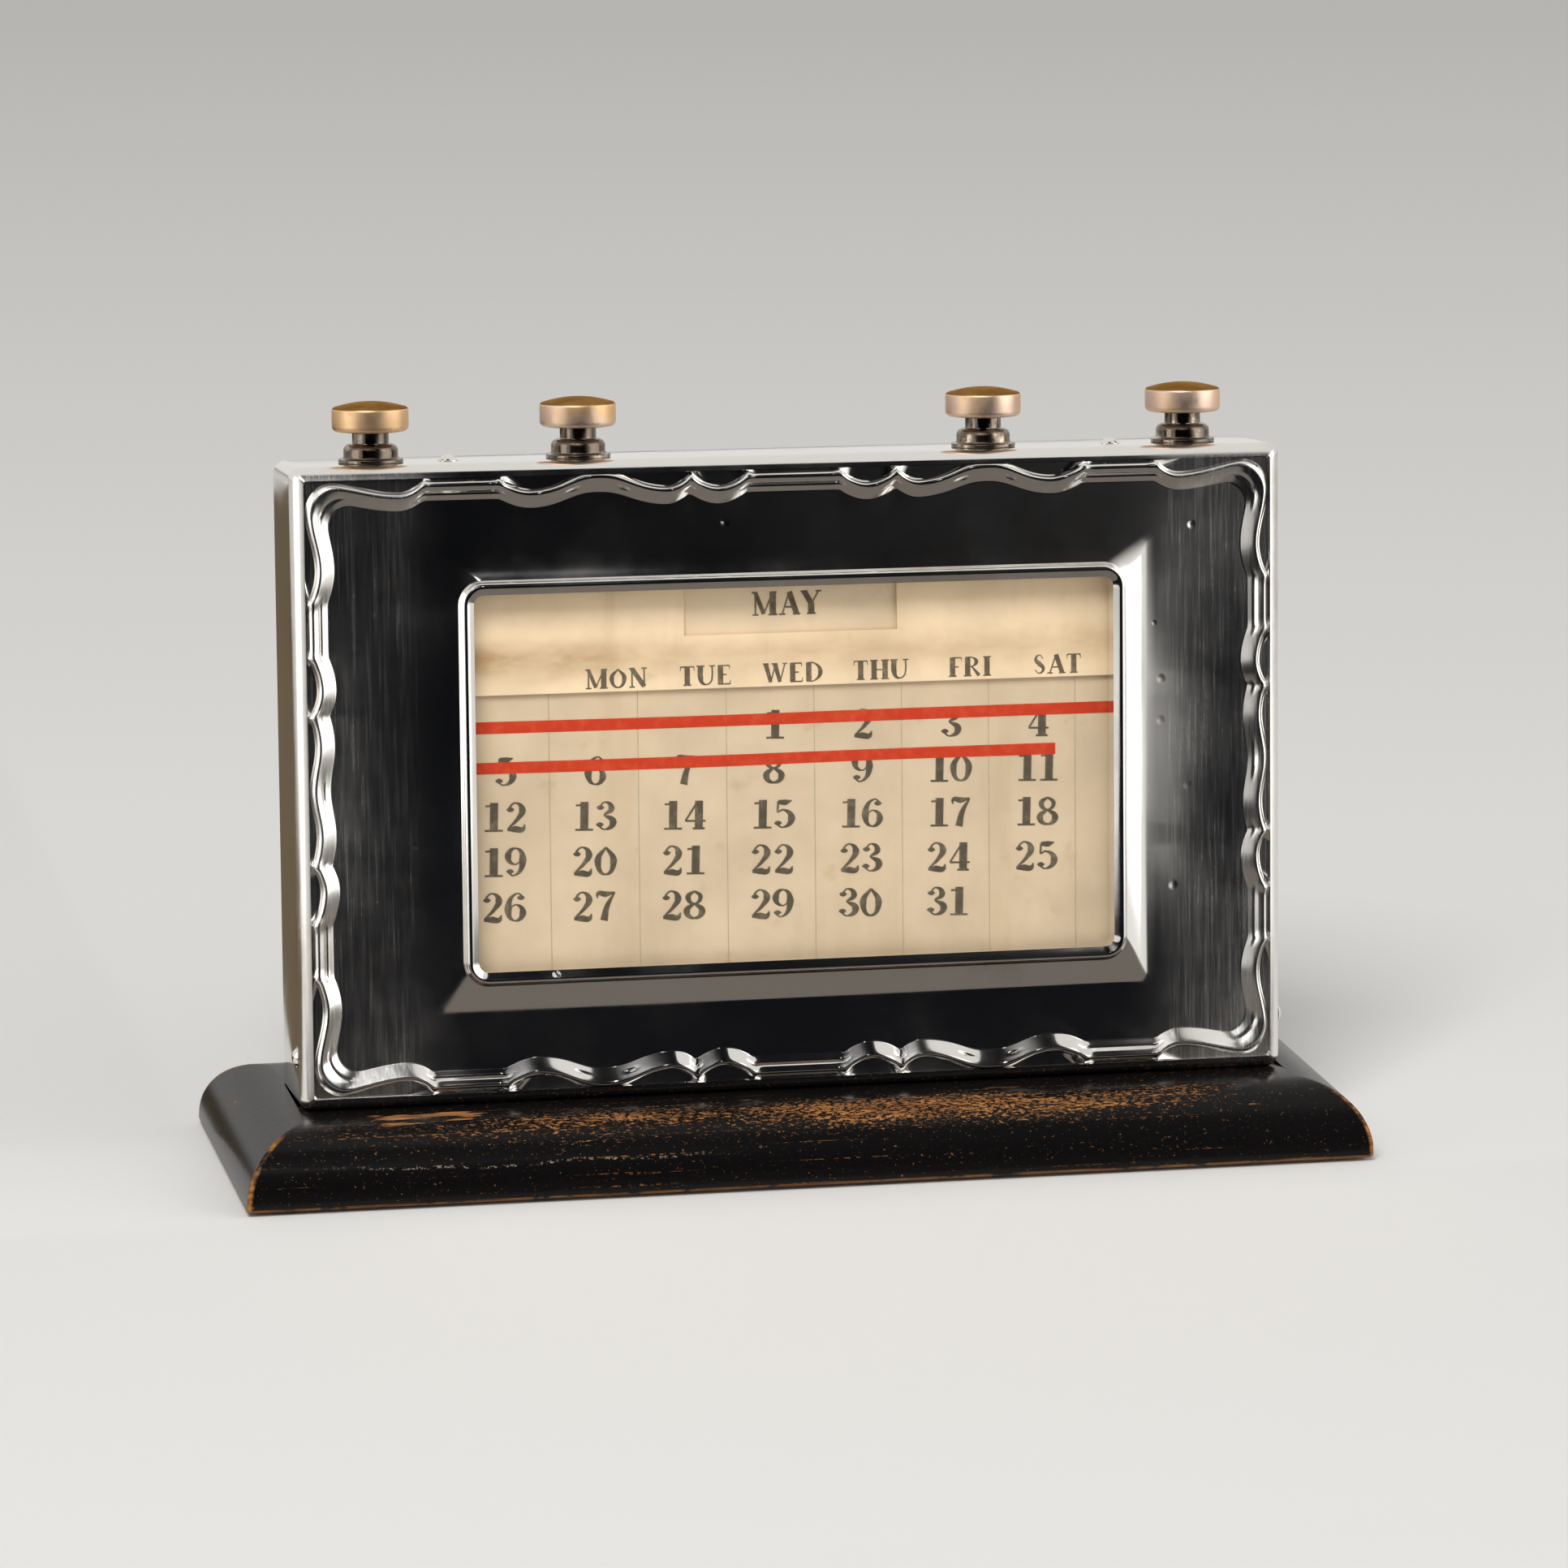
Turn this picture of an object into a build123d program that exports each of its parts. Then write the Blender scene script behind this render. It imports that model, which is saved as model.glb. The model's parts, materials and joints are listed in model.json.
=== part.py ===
from build123d import *
from math import cos, radians, sin
import os

# Perpetual desk calendar: a silver-fronted case leans back on a moulded wooden plinth.
# Millimetres, +Z up, front towards -Y, origin at the centre of the underside.

os.makedirs("parts", exist_ok=True)

# Plinth
plinth_length = 142.0
plinth_depth = 43.0
plinth_wood_height = 8.8
plinth_square_edge = 0.8  # left square below the quarter-round
baize_thickness = 0.5
baize_inset = 3.0

# Case envelope and how it stands
case_width = 125.0
case_height = 79.0
case_setback = 12.1  # from the plinth's front edge to the foot of the case's front
lean_angle = 6.0
seat_clearance = 0.1

# Silver front cover
sheet_thickness = 0.8
outline_corner = 1.6
front_edge_round = 1.25
border_width = 1.5  # plain edge outside the groove
groove_width = 0.5
groove_depth = 0.6
rim_width = 2.2
face_recess = 1.0  # the face lies this far behind the rim
window_side_margin = 20.95  # from the case's edge to the crest of the window's lip
window_foot_margin = 15.325
window_head_margin = 14.825
window_corner = 2.0
lip_proud = 1.2
lip_width = 1.2
lip_round = 0.45
moulding_width = 5.0  # hollow from the face up to the lip

# Waves of the rim: distance from the middle of the side, length along it, rise into the face
long_side_waves = [(49.5, 11.0, 1.7), (31.8, 10.5, 1.6), (18.6, 9.5, 1.3), (9.6, 7.0, 1.2)]
short_side_waves = [(27.8, 10.5, 1.5), (13.4, 7.0, 1.2), (5.0, 9.5, 1.5)]

# Glass and its clips
glass_thickness = 1.0
glass_overlap = 3.8  # behind the window's moulding on each side
clip_thickness = 0.4
clip_width = 3.0
clip_foot = 2.0
clip_tongue = 1.6
lower_clip_rise = 10.5  # above the foot of the glass
upper_clip_drop = 8.3  # below the foot of the header card
bottom_clip_offset = 20.0

# Wooden carcass and back
clip_rail_gap = 0.5  # between the lower clips and the bottom rail
glass_rail_gap = 2.0  # between the glass and the top rail
stile_width = 4.7
dowel_radius = 1.1
dowel_length = 8.0
back_thickness = 2.4
back_clearance = 0.1

# Paper
paper_thickness = 0.15
paper_gap = 0.25  # between the header card and the paper
card_thickness = 0.4
card_gap = 0.1  # between the glass and the header card
card_side_gap = 1.0  # between the header card and the stiles
card_drop = 13.875  # from the head of the window to the card's foot
card_overlap = 3.2  # on the top rail
month_window_width = 27.0
month_window_height = 9.6
month_window_rise = 6.6  # above the card's foot
month_strip_margin = 1.3  # strip above and below its cut-out
date_sheet_clearance = 3.5  # between the bottom rail and the sheet
date_sheet_tuck = 1.7  # behind the card

# Rollers
date_roller_inset = 11.0  # from the case's side
month_roller_offset = 25.7
roll_radius = 3.2
roll_back_gap = 1.4  # between a roll and the back board
roll_foot_gap = 0.7  # between a month roll and the foot of its core
date_core_radius = 2.2
month_core_radius = 1.8
spindle_radius = 1.2
bearing_clearance = 0.05
end_play = 0.1
paper_clearance = 0.1

# Knobs and collars
knob_radius = 4.7
knob_height = 3.7
knob_dome = 0.65
knob_round = 0.3
knob_cap = 1.2  # brass above the end of the spindle
neck_radius = 2.25
neck_height = 1.4
collar_flange_radius = 4.0
collar_flange_height = 0.5
collar_radius = 3.35
collar_height = 2.3
collar_round = 0.85
collar_stem_radius = 2.4

# Pivots, washers and brackets
pivot_bush_radius = 2.0
pivot_bush_height = 4.0
pivot_floor = 0.6
washer_thickness = 0.5
washer_radius = 2.1
washer_play = 0.15
bracket_thickness = 1.2
bracket_leaf = 10.4
bracket_width = 8.0
bracket_overhang = 2.6  # shelf in front of the spindle's axis
bush_flange_radius = 2.6
bush_flange_height = 0.4

# Fasteners
plinth_screw_inset = 27.5  # from the case's side
plinth_screw_radius = 1.5
plinth_screw_head_radius = 2.8
plinth_screw_head_height = 1.6
plinth_screw_recess = 1.2  # from the wood's underside to the head
plinth_screw_bite = 5.0  # into the bottom rail
screw_clearance = 0.1
back_screw_radius = 0.7
back_screw_head_radius = 1.4
back_screw_bite = 4.5
back_screw_inset = 22.5  # from the case's side, along the rails
bracket_screw_radius = 0.6
bracket_screw_head_radius = 1.2
bracket_screw_head_height = 0.6
bracket_screw_bite = 1.4
bracket_screw_drops = [4.0, 7.6]  # below the bracket's shelf
pin_radius = 0.5
pin_head_radius = 0.85
pin_head_height = 0.3
pin_length = 5.0
top_pin_inset = 20.5  # from the case's side
side_pin_drop = 2.525  # below the top of the bottom rail
side_pin_depth = 3.2

# Levels that follow from the sizes above
plinth_top = baize_thickness + plinth_wood_height
ovolo_radius = plinth_wood_height - plinth_square_edge
case_foot_y = case_setback - plinth_depth / 2
inner_width = case_width - 2 * sheet_thickness
inner_height = case_height - 2 * sheet_thickness

# From the front to the back: face, glass, card, paper, rolls, back board
face_back = face_recess + sheet_thickness
glass_back = face_back + glass_thickness
card_front = glass_back + card_gap
card_back = card_front + card_thickness
paper_front = card_back + paper_gap
paper_back = paper_front + paper_thickness
roller_axis_depth = paper_back + paper_clearance + roll_radius
back_face = roller_axis_depth + roll_radius + roll_back_gap
case_depth = back_face + back_thickness
carcass_depth = back_face - face_back
carcass_mid = (back_face + face_back) / 2

# Window, glass and the carcass round them
rim_inset = border_width + groove_width + rim_width
window_width = case_width - 2 * window_side_margin
window_height = case_height - window_foot_margin - window_head_margin
window_centre_height = window_foot_margin + window_height / 2
opening_width = window_width - 2 * lip_width
opening_height = window_height - 2 * lip_width
glass_width = window_width + 2 * glass_overlap
glass_height = window_height + 2 * glass_overlap
glass_foot = window_centre_height - glass_height / 2
glass_head = window_centre_height + glass_height / 2
bottom_rail_top = glass_foot - clip_foot - clip_rail_gap
bottom_rail_height = bottom_rail_top - sheet_thickness
top_rail_foot = glass_head + glass_rail_gap
top_rail_height = case_height - sheet_thickness - top_rail_foot
stile_offset = inner_width / 2 - stile_width / 2

# Card, sheet and strip
card_width = inner_width - 2 * (stile_width + card_side_gap)
card_foot_height = case_height - window_head_margin - card_drop
month_window_foot = card_foot_height + month_window_rise
month_strip_foot = month_window_foot - month_strip_margin
month_strip_height = month_window_height + 2 * month_strip_margin
date_sheet_foot = bottom_rail_top + date_sheet_clearance
date_sheet_height = card_foot_height + date_sheet_tuck - date_sheet_foot
side_clip_heights = [glass_foot + lower_clip_rise, card_foot_height - upper_clip_drop]

# Rollers, knobs and brackets
date_roller_offset = case_width / 2 - date_roller_inset
bearing_radius = spindle_radius + bearing_clearance
collar_top = case_height + collar_height
neck_foot = collar_top + end_play
disc_foot = neck_foot + neck_height
knob_top = disc_foot + knob_height
spindle_top = knob_top - knob_cap
washer_foot = top_rail_foot - washer_thickness
core_top = washer_foot - end_play
bracket_top = month_strip_foot - roll_foot_gap - end_play - bush_flange_height
bracket_foot_height = bracket_top - bracket_thickness

FOOT = (Align.CENTER, Align.CENTER, Align.MIN)
HEAD_DOWN = (Align.CENTER, Align.CENTER, Align.MAX)
SIDES = {"left": -1, "right": 1}

# The case's own frame: x to the right, y from its front plane to the back, z up along the lean.
upright = Plane(origin=(0, case_foot_y, plinth_top), x_dir=(1, 0, 0), z_dir=(0, 0, 1))
case_frame = upright.rotated((-lean_angle, 0, 0))
front_to_back = Axis(case_frame.origin, case_frame.y_dir)
foot_to_top = Axis(case_frame.origin, case_frame.z_dir)


def level(height, x=0.0, depth=0.0):
    """Plane across the case at a height above its foot."""
    origin = case_frame.from_local_coords((x, depth, height))
    return Plane(origin=origin, x_dir=case_frame.x_dir, z_dir=case_frame.z_dir)


def facing(depth, x=0.0, height=0.0):
    """Plane that looks out of the case's front, at a depth behind its front plane."""
    origin = case_frame.from_local_coords((x, depth, height))
    return Plane(origin=origin, x_dir=case_frame.x_dir, z_dir=-case_frame.y_dir)


def rearward(depth, x=0.0, height=0.0):
    """Plane that looks out of the case's back."""
    origin = case_frame.from_local_coords((x, depth, height))
    return Plane(origin=origin, x_dir=-case_frame.x_dir, z_dir=case_frame.y_dir)


def sideways(side, x, depth, height):
    """Plane that looks out of the case's left or right side."""
    origin = case_frame.from_local_coords((x, depth, height))
    return Plane(origin=origin, x_dir=case_frame.y_dir, z_dir=case_frame.x_dir * side)


def save(builder, name):
    builder.part.label = name
    export_step(builder.part, f"parts/{name}.step")


# Where the pins, screws and rollers stand
top_pin_offset = case_width / 2 - top_pin_inset
side_pin_height = bottom_rail_top - side_pin_drop
back_screw_offset = case_width / 2 - back_screw_inset
plinth_screw_offset = case_width / 2 - plinth_screw_inset
top_pins = [level(case_height, side * top_pin_offset, roller_axis_depth) for side in SIDES.values()]
side_pins = [
    sideways(side, side * case_width / 2, side_pin_depth, side_pin_height) for side in SIDES.values()
]
cover_pin_planes = top_pins + side_pins
rail_screw_heights = [sheet_thickness + bottom_rail_height / 2, top_rail_foot + top_rail_height / 2]
back_screw_planes = [
    rearward(case_depth, side * back_screw_offset, height)
    for side in SIDES.values()
    for height in rail_screw_heights
] + [rearward(case_depth, side * stile_offset, case_height / 2) for side in SIDES.values()]
seat_middle = case_frame.from_local_coords((0, case_depth / 2, 0))
plinth_screw_head_foot = baize_thickness + plinth_screw_recess
plinth_screw_points = [(side * plinth_screw_offset, seat_middle.Y, 0) for side in SIDES.values()]
plinth_screw_top = seat_middle.Z + sheet_thickness + plinth_screw_bite
all_roller_offsets = [
    side * offset for offset in (date_roller_offset, month_roller_offset) for side in SIDES.values()
]
dowel_points = [
    (side * stile_offset, height) for side in SIDES.values() for height in (bottom_rail_top, top_rail_foot)
]


# Baize under the plinth
with BuildPart() as base_baize:
    Box(
        plinth_length - 2 * baize_inset,
        plinth_depth - 2 * baize_inset,
        baize_thickness,
        align=FOOT,
    )
save(base_baize, "base_baize")

# Plinth: quarter-round on all four sides, a sloping seat for the case, counterbored from below
with BuildPart(Plane.XY.offset(baize_thickness)) as plinth:
    Box(plinth_length, plinth_depth, plinth_wood_height, align=FOOT)
    fillet(plinth.faces().sort_by(Axis.Z)[-1].edges(), radius=ovolo_radius)
    with Locations(*plinth_screw_points):
        Cylinder(plinth_screw_radius + screw_clearance, plinth_wood_height, align=FOOT, mode=Mode.SUBTRACT)
        Cylinder(
            plinth_screw_head_radius + screw_clearance,
            plinth_screw_recess + plinth_screw_head_height,
            align=FOOT,
            mode=Mode.SUBTRACT,
        )
    with BuildSketch(level(0, depth=case_depth / 2)):
        Rectangle(case_width + 2 * seat_clearance, case_depth + 2 * seat_clearance)
    extrude(amount=case_height, mode=Mode.SUBTRACT)
save(plinth, "plinth")

# Screws from the plinth up into the bottom rail
with BuildPart(Plane.XY.offset(plinth_screw_head_foot)) as plinth_screws:
    with Locations(*plinth_screw_points):
        Cylinder(plinth_screw_head_radius, plinth_screw_head_height, align=FOOT)
        Cylinder(plinth_screw_radius, plinth_screw_top - plinth_screw_head_foot, align=FOOT)
save(plinth_screws, "plinth_screws")

# Silver front cover: a tray with a grooved border, a wavy rim and a window with a hollow moulding
hollow_angles = [0, 30, 60, 90]  # steps of the moulding's quarter-ellipse, from the face to the lip
with BuildPart() as front_cover:
    with BuildSketch(facing(0, height=case_height / 2)):
        RectangleRounded(case_width, case_height, outline_corner)
    extrude(amount=-case_depth)
    fillet(front_cover.faces().sort_by(front_to_back)[0].edges(), radius=front_edge_round)
    with BuildSketch(facing(0, height=case_height / 2)):
        RectangleRounded(case_width - 2 * border_width, case_height - 2 * border_width, outline_corner)
        RectangleRounded(
            case_width - 2 * (border_width + groove_width),
            case_height - 2 * (border_width + groove_width),
            outline_corner,
            mode=Mode.SUBTRACT,
        )
    extrude(amount=-groove_depth, mode=Mode.SUBTRACT)
    with BuildSketch(facing(0, height=case_height / 2)):
        RectangleRounded(case_width - 2 * rim_inset, case_height - 2 * rim_inset, outline_corner)
        for offset, length, rise in long_side_waves:
            with GridLocations(2 * offset, case_height - 2 * rim_inset, 2, 2):
                Ellipse(length / 2, rise, mode=Mode.SUBTRACT)
        for offset, length, rise in short_side_waves:
            with GridLocations(case_width - 2 * rim_inset, 2 * offset, 2, 2):
                Ellipse(rise, length / 2, mode=Mode.SUBTRACT)
    extrude(amount=-face_recess, mode=Mode.SUBTRACT)
    with BuildSketch(facing(case_depth, height=case_height / 2)):
        Rectangle(inner_width, inner_height)
    extrude(amount=case_depth - face_back, mode=Mode.SUBTRACT)
    for angle in hollow_angles:
        reach = moulding_width * (1 - sin(radians(angle)))
        rise = (face_recess + lip_proud) * (1 - cos(radians(angle)))
        with BuildSketch(facing(face_recess - rise, height=window_centre_height)):
            Rectangle(window_width + 2 * reach, window_height + 2 * reach)
    loft()
    with BuildSketch(facing(-lip_proud, height=window_centre_height)):
        RectangleRounded(opening_width, opening_height, window_corner)
    extrude(amount=-(lip_proud + face_back), mode=Mode.SUBTRACT)
    fillet(front_cover.faces().sort_by(front_to_back)[0].edges(), radius=lip_round)
    for x in all_roller_offsets:
        with Locations(level(case_height, x, roller_axis_depth)):
            Cylinder(collar_stem_radius, sheet_thickness, align=HEAD_DOWN, mode=Mode.SUBTRACT)
    with Locations(*cover_pin_planes):
        Cylinder(pin_radius, sheet_thickness, align=HEAD_DOWN, mode=Mode.SUBTRACT)
    with Locations(*plinth_screw_points):
        Cylinder(plinth_screw_radius + screw_clearance, plinth_screw_top, align=FOOT, mode=Mode.SUBTRACT)
save(front_cover, "front_cover")

# Pins that hold the cover to the carcass
with BuildPart() as cover_pins:
    with Locations(*cover_pin_planes):
        Cylinder(pin_head_radius, pin_head_height, align=FOOT)
        Cylinder(pin_radius, pin_length, align=HEAD_DOWN)
save(cover_pins, "cover_pins")

# Glass behind the window
with BuildPart(facing(glass_back, height=window_centre_height)) as window_glass:
    Box(glass_width, glass_height, glass_thickness, align=FOOT)
save(window_glass, "window_glass")

# Bent tabs soldered behind the face: each has a foot on the face and a tongue over the glass
clip_depth = glass_thickness + clip_thickness
clip_places = [
    (side * glass_width / 2, height, case_frame.x_dir * side)
    for side in SIDES.values()
    for height in side_clip_heights
] + [
    (side * bottom_clip_offset, glass_foot, -case_frame.z_dir)
    for side in SIDES.values()
]
with BuildPart() as glass_clips:
    for x, height, outward in clip_places:
        clip_root = case_frame.from_local_coords((x, face_back, height))
        with BuildSketch(Plane(origin=clip_root, x_dir=outward, z_dir=outward.cross(case_frame.y_dir))):
            with BuildLine():
                Polyline(
                    (0, 0),
                    (clip_foot, 0),
                    (clip_foot, clip_thickness),
                    (clip_thickness, clip_thickness),
                    (clip_thickness, clip_depth),
                    (-clip_tongue, clip_depth),
                    (-clip_tongue, glass_thickness),
                    (0, glass_thickness),
                    close=True,
                )
            make_face()
        extrude(amount=clip_width / 2, both=True)
save(glass_clips, "glass_clips")

# Wooden carcass: two rails with the stiles between them
with BuildPart() as bottom_rail:
    with Locations(level(sheet_thickness, depth=carcass_mid)):
        Box(inner_width, carcass_depth, bottom_rail_height, align=FOOT)
    for side in SIDES.values():
        with Locations(level(bottom_rail_top, side * date_roller_offset, roller_axis_depth)):
            Cylinder(pivot_bush_radius, pivot_bush_height, align=HEAD_DOWN, mode=Mode.SUBTRACT)
        with Locations(level(bottom_rail_top, side * stile_offset, carcass_mid)):
            Cylinder(dowel_radius, dowel_length / 2, align=HEAD_DOWN, mode=Mode.SUBTRACT)
    with Locations(*side_pins):
        Cylinder(pin_radius, pin_length, align=HEAD_DOWN, mode=Mode.SUBTRACT)
    with Locations(*back_screw_planes):
        Cylinder(back_screw_radius, back_thickness + back_screw_bite, align=HEAD_DOWN, mode=Mode.SUBTRACT)
    with Locations(*plinth_screw_points):
        Cylinder(plinth_screw_radius, plinth_screw_top, align=FOOT, mode=Mode.SUBTRACT)
save(bottom_rail, "bottom_rail")

with BuildPart() as top_rail:
    with Locations(level(top_rail_foot, depth=carcass_mid)):
        Box(inner_width, carcass_depth, top_rail_height, align=FOOT)
    with BuildSketch(facing(face_back, height=top_rail_foot + card_overlap / 2)):
        Rectangle(card_width + 2 * card_gap, card_overlap)
    extrude(amount=-(card_back - face_back), mode=Mode.SUBTRACT)
    for x in all_roller_offsets:
        with Locations(level(top_rail_foot, x, roller_axis_depth)):
            Cylinder(collar_stem_radius, top_rail_height, align=FOOT, mode=Mode.SUBTRACT)
    for side in SIDES.values():
        with Locations(level(top_rail_foot, side * stile_offset, carcass_mid)):
            Cylinder(dowel_radius, dowel_length / 2, align=FOOT, mode=Mode.SUBTRACT)
    with Locations(*top_pins):
        Cylinder(pin_radius, pin_length, align=HEAD_DOWN, mode=Mode.SUBTRACT)
    with Locations(*back_screw_planes):
        Cylinder(back_screw_radius, back_thickness + back_screw_bite, align=HEAD_DOWN, mode=Mode.SUBTRACT)
save(top_rail, "top_rail")

for name, side in SIDES.items():
    with BuildPart() as stile:
        with Locations(level(bottom_rail_top, side * stile_offset, carcass_mid)):
            Box(stile_width, carcass_depth, top_rail_foot - bottom_rail_top, align=FOOT)
            Cylinder(dowel_radius, dowel_length / 2, align=FOOT, mode=Mode.SUBTRACT)
        with Locations(level(top_rail_foot, side * stile_offset, carcass_mid)):
            Cylinder(dowel_radius, dowel_length / 2, align=HEAD_DOWN, mode=Mode.SUBTRACT)
        with Locations(*back_screw_planes):
            Cylinder(back_screw_radius, back_thickness + back_screw_bite, align=HEAD_DOWN, mode=Mode.SUBTRACT)
    save(stile, f"{name}_stile")

with BuildPart() as carcass_dowels:
    for x, height in dowel_points:
        with Locations(level(height, x, carcass_mid)):
            Cylinder(dowel_radius, dowel_length)
save(carcass_dowels, "carcass_dowels")

# Back board let in between the cover's sides, with countersunk screws
back_width = inner_width - 2 * back_clearance
back_height = inner_height - 2 * back_clearance
head_height = back_screw_head_radius - back_screw_radius
with BuildPart() as back_cover:
    with BuildSketch(rearward(back_face, height=case_height / 2)):
        Rectangle(back_width, back_height)
    extrude(amount=back_thickness)
    with Locations(*back_screw_planes):
        CounterSinkHole(back_screw_radius, back_screw_head_radius, depth=back_thickness)
    for x in (-month_roller_offset, month_roller_offset):
        for drop in bracket_screw_drops:
            with Locations(facing(back_face, x, bracket_foot_height - drop)):
                Cylinder(bracket_screw_radius, bracket_screw_bite, align=HEAD_DOWN, mode=Mode.SUBTRACT)
save(back_cover, "back_cover")

with BuildPart() as back_cover_screws:
    with Locations(*back_screw_planes):
        Cylinder(back_screw_radius, back_thickness + back_screw_bite, align=HEAD_DOWN)
        Cone(back_screw_radius, back_screw_head_radius, head_height, align=HEAD_DOWN)
save(back_cover_screws, "back_cover_screws")

# Fixed card with a cut-out for the month, glued to the top rail
with BuildPart() as header_card:
    card_height = top_rail_foot + card_overlap - card_foot_height
    with BuildSketch(facing(card_back, height=card_foot_height + card_height / 2)):
        Rectangle(card_width, card_height)
    extrude(amount=card_thickness)
    with BuildSketch(facing(card_back, height=month_window_foot + month_window_height / 2)):
        Rectangle(month_window_width, month_window_height)
    extrude(amount=card_thickness, mode=Mode.SUBTRACT)
save(header_card, "header_card")

# Flat spans of the two papers, each touching the front of its pair of rolls
with BuildPart(level(date_sheet_foot, depth=(paper_front + paper_back) / 2)) as date_sheet:
    Box(2 * date_roller_offset, paper_thickness, date_sheet_height, align=FOOT)
save(date_sheet, "date_sheet")

with BuildPart(level(month_strip_foot, depth=(paper_front + paper_back) / 2)) as month_strip:
    Box(2 * month_roller_offset, paper_thickness, month_strip_height, align=FOOT)
save(month_strip, "month_strip")

# Fibre washers under the top rail
with BuildPart() as friction_washers:
    for x in all_roller_offsets:
        with Locations(level(washer_foot, x, roller_axis_depth)):
            Cylinder(washer_radius, washer_thickness, align=FOOT)
            Cylinder(spindle_radius + washer_play, washer_thickness, align=FOOT, mode=Mode.SUBTRACT)
save(friction_washers, "friction_washers")

# Brackets on the back board, which carry the lower ends of the month rollers
for name, side in SIDES.items():
    shelf_front = roller_axis_depth - bracket_overhang
    x = side * month_roller_offset
    with BuildPart() as bracket:
        with Locations(level(bracket_foot_height, x, (shelf_front + back_face) / 2)):
            Box(bracket_width, back_face - shelf_front, bracket_thickness, align=FOOT)
        with Locations(level(bracket_foot_height, x, back_face - bracket_thickness / 2)):
            Box(bracket_width, bracket_thickness, bracket_leaf, align=HEAD_DOWN)
        with Locations(level(bracket_foot_height, x, roller_axis_depth)):
            Cylinder(pivot_bush_radius, bracket_thickness, align=FOOT, mode=Mode.SUBTRACT)
        for drop in bracket_screw_drops:
            with Locations(facing(back_face, x, bracket_foot_height - drop)):
                Cylinder(bracket_screw_radius, bracket_thickness, align=FOOT, mode=Mode.SUBTRACT)
    save(bracket, f"month_{name}_bracket")

with BuildPart() as bracket_screws:
    for x in (-month_roller_offset, month_roller_offset):
        for drop in bracket_screw_drops:
            with Locations(facing(back_face - bracket_thickness, x, bracket_foot_height - drop)):
                Cylinder(bracket_screw_head_radius, bracket_screw_head_height, align=FOOT)
                Cylinder(bracket_screw_radius, bracket_thickness + bracket_screw_bite, align=HEAD_DOWN)
save(bracket_screws, "bracket_screws")


def make_collar(name, x):
    """Turned bush that carries a spindle through the top of the case."""
    with BuildPart() as collar:
        with Locations(level(case_height, x, roller_axis_depth)):
            Cylinder(collar_flange_radius, collar_flange_height, align=FOOT)
            Cylinder(collar_radius, collar_height, align=FOOT)
            Cylinder(collar_stem_radius, case_height - top_rail_foot, align=HEAD_DOWN)
        fillet(collar.faces().sort_by(foot_to_top)[-1].edges(), radius=collar_round)
        with Locations(level(top_rail_foot, x, roller_axis_depth)):
            Cylinder(bearing_radius, collar_top - top_rail_foot, align=FOOT, mode=Mode.SUBTRACT)
    save(collar, f"{name}_collar")


def make_pivot_bush(name, x, foot, height, floor):
    """Lower bearing of a spindle; one with a floor is a cup, one without has a flange."""
    with BuildPart() as pivot_bush:
        with Locations(level(foot, x, roller_axis_depth)):
            Cylinder(pivot_bush_radius, height, align=FOOT)
        if not floor:
            with Locations(level(foot + height, x, roller_axis_depth)):
                Cylinder(bush_flange_radius, bush_flange_height, align=FOOT)
        with Locations(level(foot + floor, x, roller_axis_depth)):
            Cylinder(bearing_radius, height + bush_flange_height, align=FOOT, mode=Mode.SUBTRACT)
    save(pivot_bush, f"{name}_pivot_bush")


def make_roller(name, x, foot, core_foot, core_radius, paper_foot, paper_height):
    """Knob, spindle, wooden core and wound paper, which turn as one."""
    with BuildPart(level(foot, x, roller_axis_depth)) as spindle:
        Cylinder(spindle_radius, spindle_top - foot, align=FOOT)
    save(spindle, f"{name}_spindle")

    with BuildPart(level(core_foot, x, roller_axis_depth)) as core:
        Cylinder(core_radius, core_top - core_foot, align=FOOT)
        Cylinder(spindle_radius, core_top - core_foot, align=FOOT, mode=Mode.SUBTRACT)
    save(core, f"{name}_core")

    with BuildPart(level(paper_foot, x, roller_axis_depth)) as roll:
        Cylinder(roll_radius, paper_height, align=FOOT)
        Cylinder(core_radius, paper_height, align=FOOT, mode=Mode.SUBTRACT)
    save(roll, f"{name}_roll")

    with BuildPart(level(neck_foot, x, roller_axis_depth)) as knob:
        with BuildSketch(facing(roller_axis_depth, x, neck_foot)) as profile:
            with BuildLine():
                disc_side = knob_height - knob_dome
                Polyline(
                    (0, neck_height + knob_height),
                    (0, 0),
                    (neck_radius, 0),
                    (neck_radius, neck_height),
                    (knob_radius, neck_height),
                    (knob_radius, neck_height + disc_side),
                )
                TangentArc(
                    (0, neck_height + knob_height),
                    (knob_radius, neck_height + disc_side),
                    tangent=(1, 0),
                )
            make_face()
            fillet(profile.vertices().group_by(Axis.X)[-1], radius=knob_round)
        revolve(axis=Axis(level(neck_foot, x, roller_axis_depth).origin, case_frame.z_dir))
        Cylinder(spindle_radius, spindle_top - neck_foot, align=FOOT, mode=Mode.SUBTRACT)
    save(knob, f"{name}_knob")


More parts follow.
